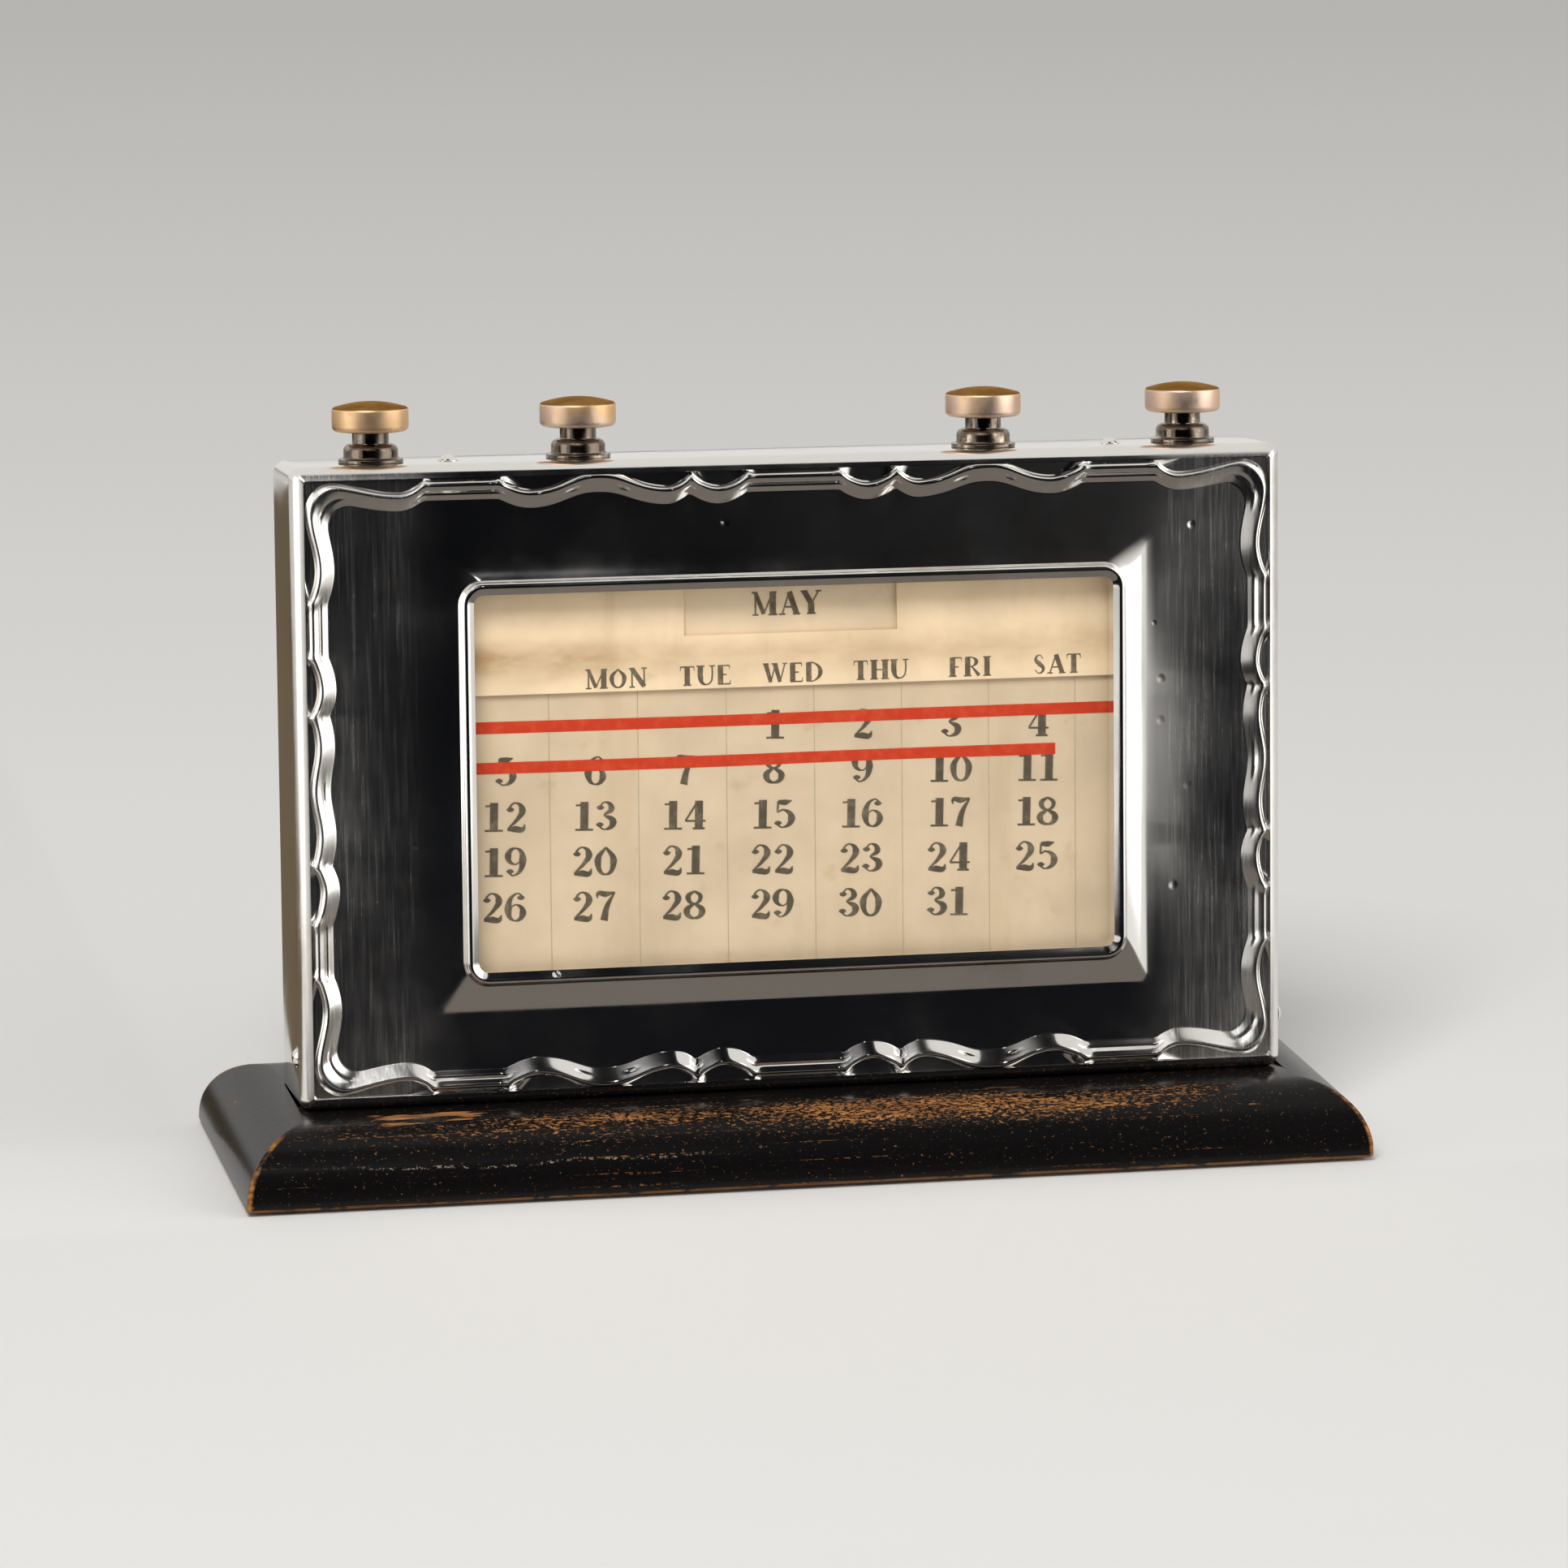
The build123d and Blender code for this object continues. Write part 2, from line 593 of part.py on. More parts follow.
date_bush_foot = bottom_rail_top - pivot_bush_height
for name, side in SIDES.items():
    date_x = side * date_roller_offset
    make_collar(f"date_{name}", date_x)
    make_pivot_bush(f"date_{name}", date_x, date_bush_foot, pivot_bush_height, pivot_floor)
    make_roller(
        f"date_{name}",
        date_x,
        date_bush_foot + pivot_floor + end_play,
        bottom_rail_top + end_play,
        date_core_radius,
        date_sheet_foot,
        date_sheet_height,
    )
    month_x = side * month_roller_offset
    make_collar(f"month_{name}", month_x)
    make_pivot_bush(f"month_{name}", month_x, bracket_foot_height, bracket_thickness, 0)
    make_roller(
        f"month_{name}",
        month_x,
        bracket_foot_height,
        bracket_top + bush_flange_height + end_play,
        month_core_radius,
        month_strip_foot,
        month_strip_height,
    )
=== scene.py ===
import json
import math
import bmesh
import bpy
from mathutils import Matrix, Vector


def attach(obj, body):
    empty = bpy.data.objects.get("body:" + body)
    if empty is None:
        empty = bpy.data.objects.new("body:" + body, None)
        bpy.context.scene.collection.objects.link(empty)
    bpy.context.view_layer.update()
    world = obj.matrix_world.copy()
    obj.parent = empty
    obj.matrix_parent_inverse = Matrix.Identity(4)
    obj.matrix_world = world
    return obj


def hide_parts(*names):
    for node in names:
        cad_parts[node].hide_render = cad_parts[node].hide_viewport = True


# A perpetual desk calendar: a leaning silver-fronted case on a worn black plinth, wound by four knobs on top.
# Case pieces are modelled in millimetres in the case's own frame: x right, y into the case, z up its front.
# Plinth pieces are modelled in millimetres in the part's frame.
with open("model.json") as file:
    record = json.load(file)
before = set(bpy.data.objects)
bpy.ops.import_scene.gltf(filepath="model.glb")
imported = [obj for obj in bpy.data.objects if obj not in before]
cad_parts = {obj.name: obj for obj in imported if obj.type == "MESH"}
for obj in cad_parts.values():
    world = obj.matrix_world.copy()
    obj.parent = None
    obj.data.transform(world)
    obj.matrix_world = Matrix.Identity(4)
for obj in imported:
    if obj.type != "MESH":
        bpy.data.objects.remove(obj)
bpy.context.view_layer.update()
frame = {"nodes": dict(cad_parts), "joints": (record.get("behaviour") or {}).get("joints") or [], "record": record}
nodes = frame["nodes"]
scene = bpy.context.scene

MM = 0.001
ROLLER_DEPTH = 7.0

# The case's frame, read from a roller's joint: its axis runs up the leaning case
roller_joint = frame["joints"][0]
CASE_UP = Vector(roller_joint["axis"])
CASE_BACK = Vector((0, CASE_UP.z, -CASE_UP.y))
roller_foot = Vector(roller_joint["pos_m"])
CASE_FOOT = Vector((0, roller_foot.y, roller_foot.z)) - CASE_BACK * ROLLER_DEPTH * MM
CASE_TURN = Matrix((Vector((1, 0, 0)), CASE_BACK, CASE_UP)).transposed().to_4x4()
CASE = Matrix.Translation(CASE_FOOT) @ CASE_TURN @ Matrix.Scale(MM, 4)
PART = Matrix.Scale(MM, 4)

# Case front
CASE_WIDTH = 125.0
CASE_HEIGHT = 79.0
CASE_DEPTH = 14.0
SHEET = 0.8
OUTLINE_CORNER = 1.6
LEAST_CORNER = 0.3
EDGE_ROUND = 2.4
EDGE_SWEEP = math.radians(70)
EDGE_INSET = EDGE_ROUND * (1 - math.cos(EDGE_SWEEP))
BORDER_CORNER = 0.6
SUNK_DEPTH = 0.6
SUNK_MARGIN = 0.1
BEAD_OUTER = 1.8
BEAD_INNER = 4.4
BEAD_CORNER = 3.6
BEAD_CREST = -0.1
BEAD_CREST_PLACE = 0.27
BEAD_CREST_ROUND = 0.12
BEAD_GROOVE_PLACE = 0.64
BEAD_GROOVE_DEPTH = 0.16
BEAD_GROOVE_REACH = 0.06
OUTER_WAVE = 1.2
PINCH_REACH = 0.5
PINCH_LIFT = 0.45
PINCH_AT_CREST = 0.4
FACE_DEPTH = 1.0
FACE_DISH = 0.03
SIDE_DISH = 0.4
SIDE_DISH_START = 37.0
SIDE_DISH_REACH = 7.0
SIDE_DISH_HALF_HEIGHT = 25.0
SIDE_DISH_FADE = 14.0

# Small dents in the silver's face: x, height up the case and share of the full depth
DENTS = (
    (-8.6, 71.0, 1.0),
    (47.0, 49.8, 0.22),
    (46.9, 44.6, 0.16),
    (50.5, 36.2, 0.22),
    (48.5, 23.7, 0.6),
)
DENT_DEPTH = 1.2
DENT_RADIUS = 0.7

# Window: its opening, with the lip and the hollow round it
WINDOW_HALF_WIDTH = 40.35
WINDOW_HALF_HEIGHT = 23.225
WINDOW_CENTRE = 39.75
WINDOW_CORNER = 1.2
LIP_WIDTH = 1.8
LIP_PROUD = 1.2
LIP_CREST = 0.95
LIP_SLOPE = 0.6
LIP_STEP = 1.3
HOLLOW_WIDTH = 3.1
HOLLOW_CORNER = 0.8
HOLLOW_START = math.radians(8)
HOLLOW_END = math.radians(24.5)

# Waves of the rim on one half of a side: middle, reach to the side's middle, reach to its corner, rise
LONG_WAVES = (
    (9.4, 3.5, 3.5, 1.3),
    (15.9, 2.8, 7.5, 1.2),
    (24.6, 6.0, 6.0, -0.5),
    (32.8, 7.5, 3.9, 1.2),
    (49.2, 3.0, 9.5, 1.2),
)
SHORT_WAVES = (
    (5.5, 5.5, 3.7, 0.6),
    (12.3, 3.1, 4.0, 0.9),
    (27.0, 4.0, 7.0, 0.9),
)
LONG_CUSPS = (5.9, 12.9, 36.7, 46.2)
SHORT_CUSPS = (9.2, 16.3, 23.0)
SOFT_REACH = 5.0
SOFT_POWER = 2.0
SHARP_POWER = 0.85
STRAIGHT_LIMIT = 0.3
LONG_STEPS = 240
SHORT_STEPS = 150
CORNER_STEPS = 10

# Knobs and collars
KNOB_RADIUS = 4.7
KNOB_HEIGHT = 3.7
KNOB_DOME = 0.65
NECK_RADIUS = 2.25
NECK_HEIGHT = 1.4
COLLAR_TOP = 2.3
COLLAR_RADIUS = 3.35
COLLAR_ROUND = 0.85
FLANGE_RADIUS = 4.0
FLANGE_HEIGHT = 0.5
COLLAR_BORE = 1.25
STEM_RADIUS = 2.4
STEM_LENGTH = 9.0
KNOB_GAP = 0.1
ROLLER_PLACES = {"date_left": -51.5, "month_left": -25.7, "month_right": 25.7, "date_right": 51.5}
TURN_STEPS = 72

# Pins and screws
PIN_RADIUS = 1.15
PIN_HEIGHT = 0.7
PIN_SEAT = 1.35
PIN_ROOT = 1.0
TOP_PIN_PLACE = 42.0
SIDE_PIN_HEIGHT = 6.5
SIDE_PIN_DEPTH = 3.2
SCREW_RADIUS = 1.4
SCREW_SLOT = 0.35
SCREW_SLOT_DEPTH = 0.3
SCREW_SHANK = 0.7
SCREW_LENGTH = 6.0
SCREW_STEPS = 48

# Plinth
BAIZE = 0.5
BAIZE_INSET = 3.0
BAIZE_CORNER = 0.8
PLINTH_LENGTH = 142.0
PLINTH_WIDTH = 43.0
PLINTH_TOP = 9.3
OVOLO = 8.0

# Papers behind the glass
CARD_FRONT = 2.9
STRIP_FRONT = 3.55
INK_LIFT = 0.012
INK_FLATNESS = 0.03

# Half widths of the printing's strokes as shares of its height, and how much the thick ones are emboldened
THICK = 0.085
THIN = 0.042
BOLDNESS = 1.3

# Points nearer than this become one, and edges bent by more than this stay sharp
MERGE_DISTANCE = 0.0005
SHARP_ANGLE = math.radians(40)


def arc(centre_r, centre_z, radius, start, end, steps):
    """Points of a circular arc in a turning profile, from one angle in degrees to another."""
    points = []
    for i in range(steps + 1):
        angle = math.radians(start + (end - start) * i / steps)
        points.append((centre_r + radius * math.cos(angle), centre_z + radius * math.sin(angle)))
    return points


def turned(profile):
    """A turned piece: a profile of (radius, height) points spun about the z axis."""
    bm = bmesh.new()
    verts = [bm.verts.new((r, 0, z)) for r, z in profile]
    edges = [bm.edges.new(pair) for pair in zip(verts, verts[1:])]
    bmesh.ops.spin(
        bm, geom=verts + edges, cent=(0, 0, 0), axis=(0, 0, 1),
        angle=math.tau, steps=TURN_STEPS, use_merge=True,
    )
    return bm


def rounded_outline(half_width, half_height, corner):
    """Points of a rounded rectangle with their outward directions, clockwise from the top left."""
    sides = (
        (90, half_width, half_height, LONG_STEPS),
        (0, half_height, half_width, SHORT_STEPS),
        (-90, half_width, half_height, LONG_STEPS),
        (180, half_height, half_width, SHORT_STEPS),
    )
    points = []
    for facing, half_run, reach, steps in sides:
        out = Vector((round(math.cos(math.radians(facing))), round(math.sin(math.radians(facing)))))
        run = Vector((out.y, -out.x))
        straight = half_run - corner
        for i in range(steps):
            along = straight * (2 * i / steps - 1)
            points.append((out * reach + run * along, out))
        centre = out * (reach - corner) + run * straight
        for i in range(CORNER_STEPS):
            angle = math.radians(facing - 90 * i / CORNER_STEPS)
            spoke = Vector((math.cos(angle), math.sin(angle)))
            points.append((centre + spoke * corner, spoke))
    return points


def wave_at(distance, waves):
    """How far the rim reaches into the face at a distance from the side's middle."""
    total = 0.0
    for middle, inner, outer, rise in waves:
        reach = inner if distance < middle else outer
        share = abs(distance - middle) / reach
        if share < 1:
            power = SOFT_POWER if reach > SOFT_REACH else SHARP_POWER
            total += rise * math.cos(share * math.pi / 2) ** power
    return total


def pinch_at(distance, cusps):
    """How strongly the rim is pinched up at a distance from the side's middle: 1 at a cusp."""
    return sum(math.exp(-(((distance - cusp) / PINCH_REACH) ** 2)) for cusp in cusps)


def rim_at(point, out, shape_at, long_shape, short_shape):
    """The rim's shape at a point of the outline: one pattern along top and foot, another up the sides."""
    return shape_at(abs(point.x), long_shape) * out.y**2 + shape_at(abs(point.y), short_shape) * out.x**2


def case_ring(inset, depth, corner, wave=0.0, pinch=0.0, groove=0.0):
    """A ring set in from the case's outline: waves push it in, pinches lift it, straight runs are grooved."""
    ring = []
    for point, out in rounded_outline(CASE_WIDTH / 2 - inset, CASE_HEIGHT / 2 - inset, corner):
        rim_wave = rim_at(point, out, wave_at, LONG_WAVES, SHORT_WAVES)
        rim_pinch = rim_at(point, out, pinch_at, LONG_CUSPS, SHORT_CUSPS)
        moved = point - out * max(rim_wave * wave, EDGE_INSET + SUNK_MARGIN - inset) if wave else point
        straightness = max(0.0, 1.0 - abs(rim_wave) / STRAIGHT_LIMIT)
        dip = groove * straightness - rim_pinch * pinch
        ring.append(Vector((moved.x, depth + dip, CASE_HEIGHT / 2 + moved.y)))
    return ring


def window_ring(offset, depth, corner):
    """A ring round the window, set out from its opening."""
    outline = rounded_outline(WINDOW_HALF_WIDTH + offset, WINDOW_HALF_HEIGHT + offset, corner)
    return [Vector((point.x, depth, WINDOW_CENTRE + point.y)) for point, out in outline]


def skin(rings, ends="open"):
    """A skin over rings of equal count: a circle extruded ring by ring, its ends then joined or filled."""
    bm = bmesh.new()
    bmesh.ops.create_circle(bm, segments=len(rings[0]), radius=1.0)
    placed = {vert: i for i, vert in enumerate(bm.verts)}
    for vert, i in placed.items():
        vert.co = rings[0][i]
    first_loop = list(bm.edges)
    loop = first_loop
    for ring in rings[1:]:
        made = bmesh.ops.extrude_edge_only(bm, edges=loop)["geom"]
        fresh = {}
        for vert in (item for item in made if isinstance(item, bmesh.types.BMVert)):
            neighbours = [edge.other_vert(vert) for edge in vert.link_edges]
            source = next(neighbour for neighbour in neighbours if neighbour in placed)
            fresh[vert] = placed[source]
            vert.co = ring[placed[source]]
        edges = (item for item in made if isinstance(item, bmesh.types.BMEdge))
        loop = [edge for edge in edges if all(vert in fresh for vert in edge.verts)]
        placed = fresh
    if ends == "joined":
        bmesh.ops.bridge_loops(bm, edges=first_loop + loop)
    if ends == "filled":
        bmesh.ops.edgeloop_fill(bm, edges=first_loop)
        bmesh.ops.edgeloop_fill(bm, edges=loop)
    return bm


def merged(*meshes):
    """Several bmeshes as one; each is a pair of a bmesh and the matrix that places it."""
    whole = bmesh.new()
    for bm, place in meshes:
        bmesh.ops.transform(bm, matrix=place, verts=bm.verts)
        mesh = bpy.data.meshes.new("loose")
        bm.to_mesh(mesh)
        bm.free()
        whole.from_mesh(mesh)
        bpy.data.meshes.remove(mesh)
    return whole


def make_piece(name, bm, place, materials, body="case", stands_for=()):
    """Finish a modelled piece: close and orient it, move it into the part's frame and hand it to its body."""
    bmesh.ops.remove_doubles(bm, verts=bm.verts, dist=MERGE_DISTANCE)
    bmesh.ops.recalc_face_normals(bm, faces=bm.faces)
    mesh = bpy.data.meshes.new(name)
    bm.to_mesh(mesh)
    bm.free()
    mesh.transform(place)
    mesh.shade_smooth()
    mesh.set_sharp_from_angle(angle=SHARP_ANGLE)
    for material in materials:
        mesh.materials.append(material)
    piece = bpy.data.objects.new(name, mesh)
    scene.collection.objects.link(piece)
    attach(piece, body)
    if stands_for:
        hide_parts(*stands_for)
    return piece


class Finish:
    """A material in the making: each call adds a node and hands back its output."""

    def __init__(self, name, **constants):
        self.material = bpy.data.materials.new(name)
        self.material.use_nodes = True
        self.tree = self.material.node_tree
        self.shader = self.tree.nodes["Principled BSDF"]
        self.place = self.tree.nodes.new("ShaderNodeTexCoord").outputs["Object"]
        split = self.tree.nodes.new("ShaderNodeSeparateXYZ")
        self.tree.links.new(self.place, split.inputs[0])
        self.x, self.y, self.z = split.outputs
        for socket, value in constants.items():
            self.shader.inputs[socket.replace("_", " ")].default_value = value

    def plug(self, socket, value):
        """Link an output into a socket, or set the socket to a constant."""
        if isinstance(value, bpy.types.NodeSocket):
            self.tree.links.new(value, socket)
        else:
            socket.default_value = value

    def feed(self, socket, value):
        """Plug an output or a constant into one of the shader's sockets."""
        self.plug(self.shader.inputs[socket], value)

    def stretched(self, scale):
        """Object coordinates scaled along each axis, for grain and streaks."""
        node = self.tree.nodes.new("ShaderNodeMapping")
        self.tree.links.new(self.place, node.inputs["Vector"])
        node.inputs["Scale"].default_value = scale
        return node.outputs[0]

    def noise(self, scale, detail=3.0, rough=0.5, on=None):
        node = self.tree.nodes.new("ShaderNodeTexNoise")
        self.tree.links.new(on or self.place, node.inputs["Vector"])
        node.inputs["Scale"].default_value = scale
        node.inputs["Detail"].default_value = detail
        node.inputs["Roughness"].default_value = rough
        return node.outputs["Fac"]

    def cells(self, scale):
        """How far each place is from the nearest of many scattered points."""
        node = self.tree.nodes.new("ShaderNodeTexVoronoi")
        self.tree.links.new(self.place, node.inputs["Vector"])
        node.inputs["Scale"].default_value = scale
        return node.outputs["Distance"]

    def distance(self, point):
        """How far each place is from a point of the part, in metres."""
        node = self.tree.nodes.new("ShaderNodeVectorMath")
        node.operation = "DISTANCE"
        self.tree.links.new(self.place, node.inputs[0])
        node.inputs[1].default_value = point
        return node.outputs["Value"]

    def rise(self, value, low, high, to_low=0.0, to_high=1.0):
        """A smooth step: to_low below low, to_high above high."""
        node = self.tree.nodes.new("ShaderNodeMapRange")
        node.interpolation_type = "SMOOTHSTEP"
        self.plug(node.inputs["Value"], value)
        node.inputs["From Min"].default_value = low
        node.inputs["From Max"].default_value = high
        node.inputs["To Min"].default_value = to_low
        node.inputs["To Max"].default_value = to_high
        return node.outputs["Result"]

    def sums(self, operation, first, second=0.0):
        """One step of arithmetic on outputs or numbers."""
        node = self.tree.nodes.new("ShaderNodeMath")
        node.operation = operation
        self.plug(node.inputs[0], first)
        self.plug(node.inputs[1], second)
        return node.outputs[0]

    def mixed(self, share, first, second):
        """A colour between two, by a share from 0 to 1."""
        node = self.tree.nodes.new("ShaderNodeMix")
        node.data_type = "RGBA"
        self.plug(node.inputs[0], share)
        for socket, colour in ((node.inputs[6], first), (node.inputs[7], second)):
            self.plug(socket, colour if isinstance(colour, bpy.types.NodeSocket) else (*colour, 1.0))
        return node.outputs[2]

    def bump(self, height, distance, strength=1.0):
        node = self.tree.nodes.new("ShaderNodeBump")
        node.inputs["Strength"].default_value = strength
        node.inputs["Distance"].default_value = distance
        self.tree.links.new(height, node.inputs["Height"])
        self.feed("Normal", node.outputs[0])


def polished_silver():
    """Old polished silver: hairlines up the face, smudges, a little tarnish and a few shallow dents."""
    look = Finish("polished_silver", Metallic=1.0)
    smudge = look.noise(55, 5, 0.6)
    tarnish = look.rise(look.noise(34, 6, 0.65), 0.52, 0.74)
    along_y = look.sums("MULTIPLY", look.y, CASE_BACK.y)
    along_z = look.sums("MULTIPLY", look.z, CASE_BACK.z)
    case_depth = look.sums("ADD", along_y, along_z)
    front_depth = CASE_FOOT.dot(CASE_BACK)
    on_front = look.rise(case_depth, front_depth + 0.0018, front_depth + 0.0022, 1.0, 0.0)
    side_panels = look.sums("MULTIPLY", look.rise(look.sums("ABSOLUTE", look.x), 0.041, 0.049), on_front)
    streaks = look.noise(1.0, 3, 0.6, on=look.stretched((3600, 900, 22)))
    hairs = look.sums("MULTIPLY", streaks, side_panels)
    look.feed("Base Color", look.mixed(tarnish, (0.84, 0.82, 0.79), (0.63, 0.58, 0.51)))
    polish = look.rise(smudge, 0.35, 0.75, 0.06, 0.15)
    hairlines = look.rise(hairs, 0.40, 0.80, 0.0, 0.10)
    brushed = look.sums("ADD", look.sums("MULTIPLY", side_panels, 0.10), hairlines)
    look.feed("Roughness", look.sums("ADD", polish, brushed))
    dents = look.rise(look.cells(95), 0.01, 0.06)
    for x, height, share in DENTS:
        off_dent = look.distance(CASE @ Vector((x, DENT_DEPTH, height)))
        dents = look.sums("MINIMUM", dents, look.rise(off_dent, 0.0, DENT_RADIUS * MM, 1.0 - share, 1.0))
    hair_height = look.sums("MULTIPLY", hairs, 0.003)
    look.bump(look.sums("ADD", hair_height, dents), 0.00015, 0.6)
    return look.material


def gilt_brass():
    """Turned brass with worn gilding: golden on the leftmost knob, rubbed to a rosy silver on the others."""
    look = Finish("gilt_brass", Metallic=1.0)
    worn_along = look.rise(look.x, -0.046, -0.030, 0.15, 0.8)
    rubbed = look.sums("MULTIPLY", look.rise(look.noise(190, 5, 0.6), 0.3, 0.62), worn_along)
    freckles = look.rise(look.noise(900, 4, 0.6), 0.58, 0.75)
    gilt = look.mixed(rubbed, (0.67, 0.44, 0.225), (0.69, 0.53, 0.45))
    look.feed("Base Color", look.mixed(look.sums("MULTIPLY", freckles, 0.3), gilt, (0.30, 0.19, 0.10)))
    look.feed("Roughness", look.rise(look.noise(260, 4), 0.3, 0.7, 0.38, 0.52))
    look.bump(look.noise(1500, 3), 0.00003, 0.4)
    return look.material


def gilt_dome():
    """The knobs' tops: the gilt in a much darker brown gold than the knobs' sides."""
    look = Finish("gilt_dome", Metallic=1.0, Specular_Tint=(0.80, 0.56, 0.34, 1.0))
    worn = look.rise(look.noise(300, 5, 0.65), 0.35, 0.7)
    look.feed("Base Color", look.mixed(worn, (0.22, 0.12, 0.045), (0.32, 0.19, 0.085)))
    look.feed("Roughness", look.rise(look.noise(420, 4), 0.3, 0.7, 0.34, 0.5))
    look.bump(look.noise(1500, 3), 0.00003, 0.4)
    return look.material


def bronzed_brass():
    """Darkened brass, rubbed brighter in patches."""
    look = Finish("bronzed_brass", Metallic=1.0)
    rubbed = look.rise(look.noise(420, 5, 0.65), 0.5, 0.75)
    look.feed("Base Color", look.mixed(rubbed, (0.15, 0.12, 0.095), (0.56, 0.46, 0.36)))
    look.feed("Roughness", look.rise(look.noise(300, 4), 0.3, 0.7, 0.10, 0.24))
    look.bump(look.noise(1400, 3), 0.00003, 0.3)
    return look.material


def plain_brass():
    look = Finish("plain_brass", Metallic=1.0)
    dull = look.rise(look.noise(330, 5, 0.6), 0.4, 0.75)
    look.feed("Base Color", look.mixed(dull, (0.72, 0.56, 0.28), (0.42, 0.30, 0.14)))
    look.feed("Roughness", look.rise(look.noise(500, 4), 0.3, 0.7, 0.22, 0.42))
    look.bump(look.noise(2200, 2), 0.00002, 0.3)
    return look.material


def drawn_steel():
    look = Finish("drawn_steel", Metallic=1.0)
    lines = look.noise(1.0, 2, on=look.stretched((5000, 5000, 90)))
    look.feed("Base Color", look.mixed(look.noise(200, 4), (0.46, 0.46, 0.47), (0.62, 0.62, 0.63)))
    look.feed("Roughness", look.rise(lines, 0.3, 0.7, 0.2, 0.36))
    look.bump(lines, 0.00001, 0.4)
    return look.material


def ebonised_wood():
    """Black polish over brown wood: flaked along the front moulding's crest, rubbed bare on the arrises."""
    look = Finish("ebonised_wood", Specular_IOR_Level=0.14)
    near_front = look.rise(look.y, -0.0135, -0.0100, 1.0, 0.0)
    off_flat = look.rise(look.y, -0.0165, -0.0120, 1.0, 0.0)
    crest = look.sums("MULTIPLY", look.rise(look.z, 0.0056, 0.0084), off_flat)
    patches = look.rise(look.noise(1.0, 4, 0.6, on=look.stretched((26, 160, 160))), 0.26, 0.60)
    right_half = look.rise(look.x, -0.060, -0.020, 0.3, 1.0)
    off_corner = look.rise(look.x, 0.046, 0.061, 1.0, 0.1)
    along = look.sums("MULTIPLY", right_half, off_corner)
    worn_ground = look.sums("MULTIPLY", look.sums("MULTIPLY", crest, patches), along)
    flakes = look.noise(1.0, 5, 0.7, on=look.stretched((1400, 3800, 3800)))
    flaked = look.rise(look.sums("ADD", flakes, look.sums("MULTIPLY", worn_ground, 0.20)), 0.655, 0.705)
    off_patch = look.sums("ABSOLUTE", look.sums("SUBTRACT", look.x, -0.0475))
    near_patch = look.rise(off_patch, 0.004, 0.011, 1.0, 0.0)
    patch = look.sums("MULTIPLY", near_patch, look.rise(look.z, 0.0086, 0.0092))
    patch = look.sums("MULTIPLY", patch, near_front)
    scrape = look.noise(1.0, 5, 0.6, on=look.stretched((80, 520, 520)))
    scraped = look.rise(look.sums("ADD", scrape, look.sums("MULTIPLY", patch, 0.26)), 0.69, 0.73)
    scratch_lines = look.noise(1.0, 2, on=look.stretched((30, 3000, 3000)))
    broken = look.rise(look.noise(1500, 2), 0.45, 0.6)
    scratches = look.sums("MULTIPLY", look.rise(scratch_lines, 0.66, 0.72), broken)
    specks = look.rise(look.noise(2100, 3, 0.6), 0.66, 0.72)
    end_distance = look.sums("SUBTRACT", PLINTH_LENGTH / 2 * MM, look.sums("ABSOLUTE", look.x))
    side_distance = look.sums("SUBTRACT", PLINTH_WIDTH / 2 * MM, look.sums("ABSOLUTE", look.y))
    off_mitre = look.sums("ABSOLUTE", look.sums("SUBTRACT", end_distance, side_distance))
    below_top = look.rise(look.z, 0.0080, 0.0089, 1.0, 0.0)
    on_mitre = look.sums("MULTIPLY", look.rise(off_mitre, 0.0003, 0.0007, 1.0, 0.0), below_top)
    on_foot = look.rise(look.z, 0.0007, 0.0010, 0.6, 0.0)
    arrises = look.sums("MAXIMUM", on_mitre, on_foot)
    rubbed = look.sums("MULTIPLY", arrises, look.rise(look.noise(190, 5, 0.65), 0.36, 0.50))
    marks = look.sums("MAXIMUM", look.sums("MULTIPLY", scratches, 0.5), look.sums("MULTIPLY", specks, 0.5))
    gone = look.sums("MAXIMUM", look.sums("MAXIMUM", flaked, scraped), rubbed)
    bare = look.sums("MAXIMUM", gone, marks)
    line_height = look.rise(look.noise(1.0, 2, on=look.stretched((40, 0, 0))), 0.3, 0.7, 0.0046, 0.0054)
    off_line = look.sums("ABSOLUTE", look.sums("SUBTRACT", look.z, line_height))
    on_line = look.sums("MULTIPLY", look.rise(off_line, 0.00005, 0.00022, 1.0, 0.0), near_front)
    off_middle = look.sums("ABSOLUTE", look.sums("SUBTRACT", look.x, -0.036))
    on_line = look.sums("MULTIPLY", on_line, look.rise(off_middle, 0.014, 0.028, 1.0, 0.0))
    chips = look.sums("MULTIPLY", on_line, look.rise(look.noise(2300, 3, 0.7), 0.52, 0.64))
    grain = look.noise(1.0, 4, 0.6, on=look.stretched((160, 2400, 2400)))
    wood = look.mixed(look.rise(grain, 0.3, 0.7), (0.13, 0.046, 0.012), (0.42, 0.18, 0.048))
    worn = look.mixed(bare, (0.004, 0.0035, 0.0035), wood)
    look.feed("Base Color", look.mixed(chips, worn, (0.24, 0.20, 0.16)))
    look.feed("Roughness", look.rise(bare, 0.0, 1.0, 0.22, 0.6))
    ripple = look.sums("MULTIPLY", look.noise(1.0, 4, on=look.stretched((60, 700, 700))), 0.6)
    look.bump(look.sums("SUBTRACT", ripple, look.sums("MULTIPLY", bare, 0.7)), 0.00005, 0.6)
    return look.material


